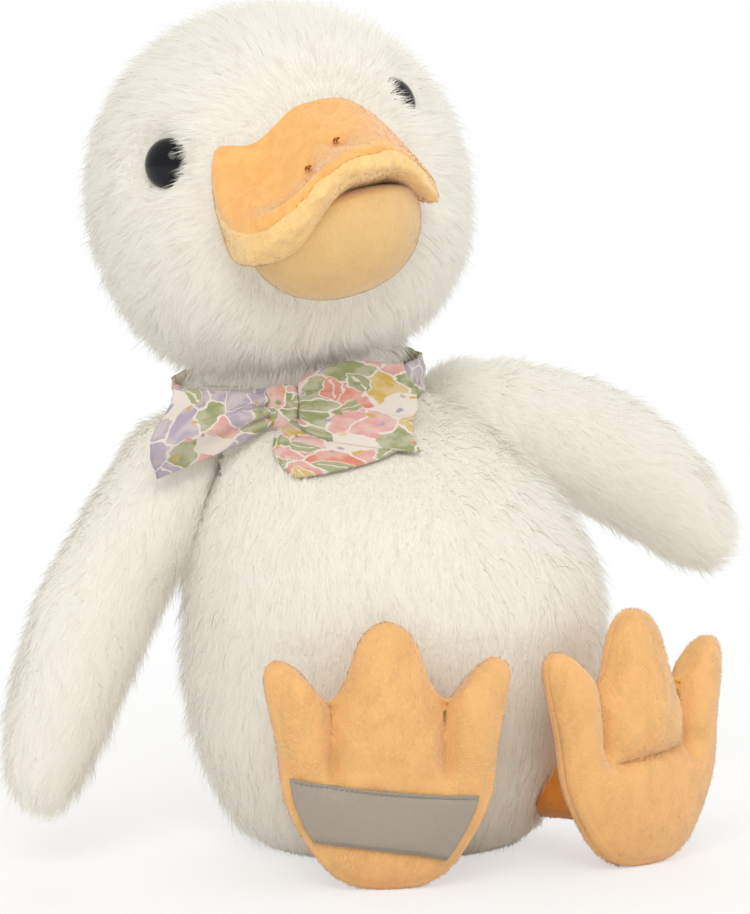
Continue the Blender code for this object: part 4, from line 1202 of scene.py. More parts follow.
class DUCK_OT_body(bpy.types.Operator):
    """Make the body's skin, the neck that fills its top, and their fur."""

    bl_idname = "duck.make_body"
    bl_label = "Make Body"

    def execute(self, context):
        fur = context.scene.duck_fur
        hair, shaded_wool = fur_materials(fur)
        belly = Vector((0, 0, BELLY_HEIGHT))
        rooms = [in_head(0.0050), in_ball(NECK_PIVOT, NECK_RADIUS + 0.0001)]
        for side in (RIGHT, LEFT):
            rooms.append(in_ball(shoulder(side), WING_ROOT_RADIUS + 0.0010))
            rooms.append(in_ball(hip(side), HIP_RADIUS + 0.0010))
        bm = ball_mesh(body_shape(0.0006), 128, 88)
        dent(bm, belly, rooms)
        flatten_seat(bm, 0.0)
        skin = object_from("body_plush", bm)

        def lengths(roots):
            long = np.ones(len(roots))
            ring = in_frame(ribbon_place(), roots)
            near = 1 - smooth_step(
                np.hypot(ring[:, 0], ring[:, 1]), RIBBON_RADIUS + 0.005, RIBBON_RADIUS + 0.014)
            long *= 1 - 0.82 * near * (1 - smooth_step(np.abs(ring[:, 2]), 0.0055, 0.012))
            across, _, up = in_frame(
                Matrix.Translation(knot_centre()) @ (
                    ribbon_place() @ bow_turn()).to_3x3().to_4x4(), roots).T
            reach = np.abs(across)
            under = smooth_step(0.046 - reach, 0, 0.006) * smooth_step(0.016 - up, 0, 0.004)
            under *= smooth_step(up + 0.012 + np.minimum(reach, 0.016), 0, 0.005)
            under *= roots[:, 1] < 0
            long *= 1 - 0.80 * under
            long *= 0.25 + 0.75 * smooth_step(roots[:, 2], 0.002, 0.012)
            for side in (RIGHT, LEFT):
                far = distance_to(roots, shoulder(side))
                long = np.where(far < WING_ROOT_RADIUS + 0.0008, 0, long)
                far = distance_to(roots, hip(side))
                long = np.where(far < HIP_RADIUS + 0.002, 0, long)
                long *= 0.5 + 0.5 * smooth_step(far, 0.014, 0.026)
                local = in_frame(foot_place(side), roots)
                behind = (np.abs(local[:, 0]) < 0.036) & (local[:, 2] < 0.044) & (local[:, 1] < 0.022)
                long = np.where(behind, long * 0.45, long)
            hidden = distance_to(roots, NECK_PIVOT) < NECK_RADIUS + 0.0025
            return np.where(hidden | (roots[:, 2] < 0.0006), 0, long)

        def flow(roots):
            return np.tile(np.array((0.0, 0.0, -1.0)), (len(roots), 1))

        seat_piece(
            skin, "body", ["body_cover", "body_stuffing", "bean_bag"], shaded_wool)
        for name, front, seed in (("body_fur_front", True, 23), ("body_fur_back", False, 37)):
            def half(roots, front=front):
                ahead = roots[:, 1] < 0.004
                return np.where(ahead == front, lengths(roots), 0)

            coat = grow_hairs(
                name, skin, hair_count(fur.hairs * 2), seed, fur.length, fur.width, flow, half,
                hair, stand=0.36, gather=0.16)
            seat_piece(coat, "body", [], None)

        neck = object_from("neck_plush", ball_mesh(
            lambda along, c, s: NECK_PIVOT + (NECK_RADIUS + 0.0003) * Vector((
                sqrt(1 - along * along) * c, sqrt(1 - along * along) * s, along)), 64, 40))
        seat_piece(neck, "neck", ["neck_stuffing"], shaded_wool)

        def neck_lengths(roots):
            hidden = in_frame(HEAD_PLACE, roots)[:, 2] > -0.046
            off_ribbon = np.abs(in_frame(ribbon_place(), roots)[:, 2])
            long = 0.30 + 0.55 * smooth_step(off_ribbon, 0.005, 0.009)
            return np.where(hidden | (body_reach(roots, -0.002) < 1), 0, long)

        coat = grow_hairs(
            "neck_fur", neck, hair_count(30000), 51, fur.length, fur.width, flow, neck_lengths,
            hair)
        seat_piece(coat, "neck", [], None)
        return {"FINISHED"}


class DUCK_OT_tail(bpy.types.Operator):
    """Make the short tail at the back."""

    bl_idname = "duck.make_tail"
    bl_label = "Make Tail"

    def execute(self, context):
        fur = context.scene.duck_fur
        hair, shaded_wool = fur_materials(fur)
        root = body_axis(TAIL_HEIGHT)[1] + BODY_HALF_DEPTH * body_spread(TAIL_HEIGHT)
        place = Matrix.Translation((0, root, TAIL_HEIGHT)) @ Matrix.Rotation(TAIL_RISE, 4, "X")

        def shape(along, c, s):
            spread = round_off(along, 2.20) * (1 - 0.25 * along)
            return Vector((
                (TAIL_HALF_WIDTH + 0.0003) * spread * c,
                (TAIL_LENGTH + 0.0003) * along,
                (TAIL_HALF_DEPTH + 0.0003) * spread * s,
            ))

        bm = ball_mesh(shape, 48, 32, place)
        push_off_body(bm, -0.001, lambda point: False)
        skin = object_from("tail_plush", bm)

        def lengths(roots):
            return np.where(in_frame(place, roots)[:, 1] < 0.004, 0, 0.9)

        def flow(roots):
            return np.tile(np.array(place.to_3x3() @ Vector((0, 1, 0))), (len(roots), 1))

        seat_piece(skin, "body", ["tail_cover", "tail_stuffing"], shaded_wool)
        coat = grow_hairs(
            "tail_fur", skin, hair_count(9000), 61, fur.length, fur.width, flow, lengths,
            hair)
        seat_piece(coat, "body", [], None)
        return {"FINISHED"}


class DUCK_OT_wings(bpy.types.Operator):
    """Make both wings and their fur, which lies towards the tip."""

    bl_idname = "duck.make_wings"
    bl_label = "Make Wings"

    def execute(self, context):
        fur = context.scene.duck_fur
        hair, shaded_wool = fur_materials(fur)
        for side, word in SIDE_NAMES.items():
            place = wing_place(side)
            root = shoulder(side)

            def shape(along, c, s):
                if along >= 0:
                    across = WING_ROOT_RADIUS * sqrt(1 - along * along)
                    return Vector((across * c, across * s, WING_ROOT_RADIUS * along))
                down = -along
                spread = round_off(down, WING_FULLNESS)
                held_out = 1 if side == LEFT else 0
                swell = float(smooth_step(down * (2.5 + 1.2 * held_out), 0, 1))
                tip = 1 - 0.02 * down + 0.17 * held_out
                wide = (WING_ROOT_RADIUS + (WING_HALF_WIDTH - WING_ROOT_RADIUS) * swell) * tip
                deep = (WING_ROOT_RADIUS + (WING_HALF_DEPTH - WING_ROOT_RADIUS) * swell) * tip
                arch = side * (WING_ARCH + WING_HELD_LIFT * held_out) * sin(pi * down)
                return Vector((arch + wide * spread * c, deep * spread * s, -WING_LENGTH * down))

            bm = ball_mesh(shape, 56, 80, place)
            push_off_body(bm, 0.0006, in_ball(root, WING_ROOT_RADIUS * 1.03))
            skin = object_from("wing_%s_plush" % word, bm)

            def lengths(roots):
                x, y, z = in_frame(place, roots).T
                long = 0.62 + 0.25 * smooth_step(-z, 0.020, 0.060)
                return np.where(body_reach(roots, 0.002) < 1, 0, long)

            def flow(roots):
                return np.tile(np.array(place.to_3x3() @ Vector((0, 0, -1))), (len(roots), 1))

            nodes = ["wing_%s_cover" % word, "wing_%s_stuffing" % word]
            seat_piece(skin, "wing_" + word, nodes, shaded_wool)
            coat = grow_hairs(
                "wing_%s_fur" % word, skin, hair_count(34000), 71 + side, fur.length, fur.width,
                flow, lengths, hair, stand=0.40, gather=0.18)
            seat_piece(coat, "wing_" + word, [], None)
        return {"FINISHED"}


class DUCK_OT_bill(bpy.types.Operator):
    """Make the upper bill with its rolled lip, the lower bill and the nostril stitches."""

    bl_idname = "duck.make_bill"
    bl_label = "Make Bill"

    def execute(self, context):
        bill = context.scene.duck_bill
        # The second colour of each pile finish is the painted shade of its brushed patches; the lip hairs are made a
        # little paler than the lip as painted sheen.
        top_finish = pile_finish("bill_pile", tuple(bill.colour), (0.84, 0.38, 0.10))
        lip_finish = pile_finish("lip_pile", tuple(bill.lip_colour), (0.80, 0.50, 0.20), 0.0035, 0.0003)
        low_finish = pile_finish("lower_bill_pile", tuple(bill.lower_colour_and_shade), shade(bill.lower_colour_and_shade, 0.90), 0.006)
        top_hair = pile_hair_finish("bill_hairs", tuple(bill.colour), shade(bill.colour, 0.90))
        lip_hair = pile_hair_finish("lip_hairs", shade(bill.lip_colour, 1.06), (0.82, 0.54, 0.23))
        low_hair = pile_hair_finish(
            "lower_bill_hairs", tuple(bill.lower_colour_and_shade), shade(bill.lower_colour_and_shade, 0.93))

        def cushion(grow, above, below):
            def shape(along, c, s):
                spread = round_off(along, BILL_FULLNESS)
                u, v = spread * c, spread * s
                if above == 0:
                    over = LIP_COVER * float(smooth_step(-u, 0.15, 0.70))
                else:
                    over = 0
                if along < 0:
                    lift = (below + over) * along
                else:
                    lift = (bill_crown(v) + above) * along ** bill_squareness(u)
                point = bill_point(u, v, grow + over) + Vector((0, 0, lift))
                if above == 0 and along > 0:
                    point.z -= self.furrow(point.x, point.y) * along
                return point

            return shape

        upper = object_from("bill_top", ball_mesh(cushion(0, 0, 0.0008), 128, 96, HEAD_PLACE))
        seat_piece(upper, "head", ["upper_bill", "upper_bill_stuffing"], top_finish)
        rolled = LIP_OVERHANG + 0.0004
        lining = object_from(
            "bill_lip", ball_mesh(cushion(rolled, -BILL_TIP_CROWN, BILL_LINING_THICKNESS * 0.78), 144, 72, HEAD_PLACE))
        self.roll_lip(lining)
        seat_piece(lining, "head", ["upper_bill_lining"], lip_finish)

        half_length = BILL_HALF_LENGTH - LOWER_BILL_SETBACK / 2
        middle = BILL_MIDDLE - LOWER_BILL_SETBACK / 2

        def lower_shape(along, c, s):
            spread = round_off(along, LOWER_BILL_FULLNESS)
            u, v = spread * c, spread * s
            taper = (LOWER_BILL_ROOT_HALF_WIDTH - LOWER_BILL_TIP_HALF_WIDTH) * (1 + v) / 2
            width = LOWER_BILL_TIP_HALF_WIDTH + taper
            lift = (LOWER_BILL_CROWN if along > 0 else LOWER_BILL_DEPTH) * along
            return Vector((
                u * width, -middle + v * half_length, BILL_LEVEL - LOWER_BILL_DROP + lift))

        lower = object_from("bill_chin", ball_mesh(lower_shape, 96, 64, HEAD_PLACE))
        seat_piece(
            lower, "head", ["lower_bill", "lower_bill_stuffing"], low_finish)

        def forward(roots):
            ahead = np.array(HEAD_PLACE.to_3x3() @ Vector((0, -1, -0.2)))
            return np.tile(ahead, (len(roots), 1))

        def off_face(least):
            def lengths(roots):
                local = in_frame(HEAD_PLACE, roots)
                spread = np.linalg.norm(local / np.array(
                    (HEAD_HALF_WIDTH, HEAD_HALF_DEPTH, HEAD_HALF_HEIGHT)), axis=1)
                return np.where(spread < 1.0, 0, least)

            return lengths

        nap = grow_hairs(
            "bill_lip_pile", lining, hair_count(22000), 83, bill.pile, 0.00022, forward,
            off_face(0.75), lip_hair, stand=0.42, clump=0.0022, gather=0.35, shade_share=0.90, rows=2)
        seat_piece(nap, "head", [], None)
        for name, skin, seed, hairs, slot in (
            ("bill_top_pile", upper, 81, top_hair, "bill_pile"),
            ("bill_chin_pile", lower, 85, low_hair, "pale_pile"),
        ):
            nap = grow_hairs(
                name, skin, hair_count(16000), seed, bill.pile, 0.00018, forward, off_face(0.38),
                hairs, stand=0.34, clump=0.0020, gather=0.2, shade_share=0.95, rows=2)
            seat_piece(nap, "head", [], None)

        self.stitch_nostrils(tuple(bill.thread_colour))
        return {"FINISHED"}

    @staticmethod
    def furrow(x, y):
        """How deep the top is pressed in: at each nostril, and along a faint fold between them."""
        v = NOSTRIL_FORWARD
        depth = 0
        for side in (RIGHT, LEFT):
            centre = bill_point(side * NOSTRIL_ASIDE, v, 0)
            far = hypot((x - centre.x) / 0.0028, (y - centre.y) / 0.0050)
            depth += 0.0024 / (1 + far**4)
        fold = x / 0.0035
        reach = smooth_step(-y, BILL_MIDDLE - 0.012, BILL_MIDDLE + 0.004)
        return depth + 0.0007 * float(reach) / (1 + fold * fold)

    @staticmethod
    def roll_lip(piece):
        """Swell the lining's rim upwards, so it shows as a soft roll along the edge."""
        back = HEAD_PLACE.inverted()
        for vert in piece.data.vertices:
            x, y, z = back @ vert.co
            v = max(-1, min(1, (y + BILL_MIDDLE) / (BILL_HALF_LENGTH + LIP_OVERHANG)))
            width = BILL_TIP_HALF_WIDTH + (BILL_ROOT_HALF_WIDTH - BILL_TIP_HALF_WIDTH) * (1 + v) / 2
            rim = hypot(x / (width + LIP_OVERHANG), v)
            level = bill_point(x / width, v, 0).z
            roll = float(smooth_step(rim, 0.72, 0.93))
            lump = noise.noise(vert.co * 330) * 0.0007 + noise.noise(vert.co * 140) * 0.0007
            rise = 0.0012 if z > level - 0.0005 else 0
            vert.co = HEAD_PLACE @ Vector((x, y + lump * roll, z + roll * (rise + lump)))

    @staticmethod
    def stitch_nostrils(colour):
        """Two strands of thread pulled into the pile, lying side by side."""
        finish = thread_finish("nostril_thread", colour)
        for side, word in SIDE_NAMES.items():
            v = NOSTRIL_FORWARD
            u = side * NOSTRIL_ASIDE
            crown = bill_crown(v) * round_off(hypot(u, v), BILL_FULLNESS) ** bill_squareness(u)
            centre = bill_point(u, v, 0) + Vector((0, 0, crown - 0.0004))
            bm = bmesh.new()
            for step in (-1, 1):
                def shape(along, c, s, step=step):
                    thick = 0.00042 * sqrt(max(0, 1 - along * along))
                    bow = 0.00055 * (1 - along * along)
                    return Vector((
                        step * 0.00045 + thick * c,
                        NOSTRIL_LENGTH / 2 * along,
                        bow - 0.0006 + thick * s,
                    ))

                strand = ball_mesh(shape, 12, 16, HEAD_PLACE @ Matrix.Translation(centre))
                part = bpy.data.meshes.new("strand")
                strand.to_mesh(part)
                strand.free()
                bm.from_mesh(part)
                bpy.data.meshes.remove(part)
            stitch = object_from("nostril_%s_thread" % word, bm)
            seat_piece(stitch, "head", ["nostril_stitch_" + word], finish)


class DUCK_OT_eyes(bpy.types.Operator):
    """Make the two glossy domed eyes on their shanks."""

    bl_idname = "duck.make_eyes"
    bl_label = "Make Eyes"

    def execute(self, context):
        finish = eye_finish("eye_gloss", tuple(context.scene.duck_eye.colour))
        for side, word in SIDE_NAMES.items():
            direction = eye_direction(side)
            centre = direction * (head_reach(direction) - EYE_SINK)
            turn = direction.to_track_quat("Z", "Y").to_matrix().to_4x4()
            place = HEAD_PLACE @ Matrix.Translation(centre) @ turn

            def shape(along, c, s):
                across = EYE_RADIUS * sqrt(max(0, 1 - along * along))
                height = EYE_HALF_HEIGHT if along >= 0 else EYE_BACK_HEIGHT
                return Vector((across * c, across * s, height * along))

            eye = object_from("eye_%s_dome" % word, ball_mesh(shape, 48, 32, place))
            nodes = ["eye_" + word, "eye_washer_" + word]
            seat_piece(eye, "head", nodes, finish)
        return {"FINISHED"}


class DUCK_OT_legs(bpy.types.Operator):
    """Make the two stuffed legs of orange pile."""

    bl_idname = "duck.make_legs"
    bl_label = "Make Legs"

    def execute(self, context):
        foot = context.scene.duck_foot
        colour = tuple(foot.leg_colour)
        # The darker second colour is the painted shade of the brushed patches.
        finish = pile_finish("leg_pile", colour, shade(colour, 0.80))
        hairs = pile_hair_finish("leg_hairs", colour, shade(colour, 0.80))
        for side, word in SIDE_NAMES.items():
            top, base = hip(side), ankle(side)
            axis = top - base
            place = Matrix.Translation(base) @ axis.to_track_quat("Z", "Y").to_matrix().to_4x4()

            def shape(along, c, s):
                across = sqrt(max(0, 1 - along * along))
                radius = HIP_RADIUS if along >= 0 else ANKLE_RADIUS
                rise = axis.length if along >= 0 else 0
                return Vector((radius * across * c, radius * across * s, rise + radius * along))

            bm = ball_mesh(shape, 48, 32, place)
            leg = object_from("leg_%s_pile" % word, bm)
            nodes = ["leg_%s_cover" % word, "leg_%s_stuffing" % word]
            seat_piece(leg, "leg_" + word, nodes, finish)

            def flow(roots):
                return np.tile(np.array((base - top)), (len(roots), 1)) * 50

            nap = grow_hairs(
                "leg_%s_nap" % word, leg, hair_count(5000), 91 + side, foot.pile, 0.00026, flow,
                lambda roots: np.ones(len(roots)) * 0.5, hairs, stand=0.5, clump=0.0016,
                gather=0.3, shade_share=0.9, rows=2)
            seat_piece(nap, "leg_" + word, [], None)
        return {"FINISHED"}


def foot_depth(x, z):
    """How far the padding stands out from the rim's plane at a place of the foot."""
    turn = atan2(z + FOOT_CENTRE_DROP, x)
    rim = foot_rim(foot_share(turn)) + Vector((0, 0, FOOT_CENTRE_DROP))
    reach = min(1, hypot(x, z + FOOT_CENTRE_DROP) / max(1e-6, rim.length))
    thick = 1 - toe_crease(x, z) + toe_swell(x, z)
    return FOOT_HALF_DEPTH * thick * round_off(reach, FOOT_FULLNESS)


OUTLINE_TURNS = []


def foot_share(turn):
    """The share of the way round the outline that lies in a direction from the foot's middle."""
    if not OUTLINE_TURNS:
        previous = None
        for step in range(1441):
            share = step / 1440
            rim = foot_rim(share) + Vector((0, 0, FOOT_CENTRE_DROP))
            angle = atan2(rim.z, rim.x)
            while previous is not None and angle < previous - pi:
                angle += 2 * pi
            previous = angle
            OUTLINE_TURNS.append(angle)
    start = OUTLINE_TURNS[0]
    while turn < start:
        turn += 2 * pi
    while turn > start + 2 * pi:
        turn -= 2 * pi
    return float(np.interp(turn, OUTLINE_TURNS, np.linspace(0, 1, len(OUTLINE_TURNS))))


class DUCK_OT_feet(bpy.types.Operator):
    """Make the padded feet, with a rim seam, creased webs and short pile."""

    bl_idname = "duck.make_feet"
    bl_label = "Make Feet"

    def execute(self, context):
        foot = context.scene.duck_foot
        colour = tuple(foot.colour)
        # The darker second colour is the painted shade of the brushed patches; the hairs are made a little paler than
        # the skin as painted sheen of the fuzz.
        finish = pile_finish("foot_pile", colour, shade(colour, 0.78), 0.0080)
        hairs = pile_hair_finish("foot_hairs", shade(colour, 1.08), shade(colour, 0.80))
        thread = thread_finish("web_thread", (0.90, 0.52, 0.03))
        centre = Vector((0, 0, -FOOT_CENTRE_DROP))
        for side, word in SIDE_NAMES.items():
            place = foot_place(side)

            def shape(along, c, s):
                rim = foot_rim(atan2(s, c) / (2 * pi)) - centre
                edge = 1 - acos(min(1, abs(along))) * 2 / pi
                spread = 1 - edge**FOOT_RING_SPACING
                height = copysign(round_off(spread, FOOT_FULLNESS), along)
                point = centre + rim * spread
                thick = 1 - toe_crease(point.x, point.z)
                if along > 0:
                    thick += toe_swell(point.x, point.z)
                depth = FOOT_HALF_DEPTH * thick
                pinch = 0.0011 / (1 + (height / 0.05) ** 2)
                point -= rim.normalized() * pinch
                fold = self.toe_fold(side, point.x, point.z) if along > 0 else 0
                if along > 0:
                    seam = (spread - RIM_SEAM_SHARE) * rim.length / 0.0007
                    fold += 0.0009 / (1 + seam * seam)
                return point - Vector((0, depth * height - fold * abs(height), 0))

            bm = ball_mesh(shape, 264, 120, place)
            flatten_seat(bm, 0.0)
            skin = object_from("foot_%s_pile" % word, bm)
            nodes = ["foot_%s_%s" % (word, part) for part in ("sole", "upper", "stuffing")]
            seat_piece(skin, "foot_" + word, nodes, finish)

            def lengths(roots, side=side, place=place):
                x, y, z = in_frame(place, roots).T
                level = z + BAND_TILT * x
                banded = (side == RIGHT) & (y < 0) & (level < -BAND_TOP_DROP - 0.0005) & (
                    level > -BAND_TOP_DROP - BAND_WIDTH + 0.0005) & (np.abs(x) < 0.026)
                off = np.abs(np.abs(x) - CREASE_ASIDE) / CREASE_HALF_WIDTH
                tucked = (1 - smooth_step(off, 0.20, 0.80)) * smooth_step(z, CREASE_ROOT_RISE, 0)
                long = 0.75 * (1 - tucked)
                return np.where(banded | (roots[:, 2] < 0.0004), 0, long)

            def flow(roots, place=place):
                local = in_frame(place, roots) + np.array((0, 0, FOOT_CENTRE_DROP))
                return unit(turned(place, local * np.array((1, 0, 1)))) + np.array((0, 0, -0.3))

            nap = grow_hairs(
                "foot_%s_nap" % word, skin, hair_count(26000), 101 + side, foot.pile, 0.00020, flow,
                lengths, hairs, stand=0.36, clump=0.0020, gather=0.25, shade_share=0.92, rows=2)
            seat_piece(nap, "foot_" + word, [], None)
            self.web_stitches(side, word, place, thread)
        return {"FINISHED"}

    @staticmethod
    def toe_fold(side, x, z):
        """A soft fold across the base of the middle toe of the foot at the duck's left."""
        if side == RIGHT:
            return 0
        bend = abs(z + 0.002 - 0.10 * x) / 0.0024
        return 0.0052 * (1 - float(smooth_step(abs(x), 0.010, 0.019))) * exp(-bend)

    @staticmethod
    def web_stitches(side, word, place, finish):
        """A few stitches of bright thread where each web is nipped in."""
        bm = bmesh.new()
        for web in (-1, 1):
            for step in (-1, 0, 1):
                middle = Vector((web * WEB_ASIDE, step * 0.0016, WEB_RISE - 0.0012))
                spot = place @ Matrix.Translation(middle) @ Matrix.Rotation(0.5 * step, 4, "Y")
                bmesh.ops.create_uvsphere(
                    bm, u_segments=8, v_segments=6, radius=1,
                    matrix=spot @ Matrix.Diagonal((0.00032, 0.0014, 0.00032, 1)))
        stitch = object_from("foot_%s_web_thread" % word, bm)
        seat_piece(stitch, "foot_" + word, [], finish)


class DUCK_OT_foot_band(bpy.types.Operator):
    """Make the bare satin band across the sole of the foot at the duck's right."""

    bl_idname = "duck.make_foot_band"
    bl_label = "Make Foot Band"

    def execute(self, context):
        finish = satin_finish("satin", tuple(context.scene.duck_foot.band_colour))
        place = foot_place(RIGHT)
        columns, rows = 96, 28
        bm = bmesh.new()
        bmesh.ops.create_grid(bm, x_segments=columns, y_segments=rows, size=0.5)
        layer = bm.loops.layers.uv.new("cut")
        flat = {}
        for vert in bm.verts:
            across, up = vert.co.x * 2, vert.co.y + 0.5
            x, z = self.band_place(across, up)
            flat[vert.index] = ((across + 1) / 2 * BAND_LENGTH, up * BAND_WIDTH)
            pucker = noise.noise(Vector((x * 160, z * 90, 3.1))) * 0.00022
            stitch = 0.00028 * float(smooth_step(abs(up - 0.5), 0.36, 0.44))
            lift = foot_depth(x, z) + 0.0012 + pucker - stitch
            vert.co = Vector((x, -lift, z))
        for face in bm.faces:
            for loop in face.loops:
                loop[layer].uv = flat[loop.vert.index]
        bm.transform(place)
        band = object_from("foot_band_satin", bm)
        self.close_cloth(band, 0.0005)
        seat_piece(band, "foot_right", ["foot_right_band"], finish)
        self.edge_stitches(place)
        return {"FINISHED"}

    @staticmethod
    def close_cloth(piece, thickness):
        cloth = piece.modifiers.new("cloth", "SOLIDIFY")
        cloth.thickness = thickness
        cloth.offset = 0

    @staticmethod
    def band_place(across, up):
        """Where a point of the band lies on the sole: from rim to rim, a little aslant."""
        z = -BAND_TOP_DROP - BAND_WIDTH * (1 - up) - 0.0012 * (1 - across * across) * up
        z -= BAND_TILT * across * 0.030
        turn = atan2(z + FOOT_CENTRE_DROP, across)
        low, high = 0.0, 0.040
        for _ in range(24):
            middle = (low + high) / 2
            turn = atan2(z + FOOT_CENTRE_DROP, middle)
            rim = foot_rim(foot_share(turn)) + Vector((0, 0, FOOT_CENTRE_DROP))
            if hypot(middle, z + FOOT_CENTRE_DROP) < rim.length:
                low = middle
            else:
                high = middle
        inset = BAND_INSET + BAND_END_INSET * float(smooth_step(across, 0, 1))
        return across * (low - inset), z

    @staticmethod
    def edge_stitches(place):
        """Running stitches along both long edges of the band."""
        finish = thread_finish("band_thread", (0.34, 0.30, 0.25))
        bm = bmesh.new()
        for up, count in ((0.045, 34), (0.955, 40)):
            for step in range(count):
                across = (step + 0.5) / count * 2 - 1
                x, z = DUCK_OT_foot_band.band_place(across * 0.97, up)
                lift = foot_depth(x, z) + 0.0013
                spot = place @ Matrix.Translation((x, -lift, z))
                bmesh.ops.create_uvsphere(
                    bm, u_segments=8, v_segments=5, radius=1,
                    matrix=spot @ Matrix.Diagonal((0.00058, 0.00022, 0.00020, 1)))
        stitches = object_from("foot_band_thread", bm)
        seat_piece(stitches, "foot_right", [], finish)


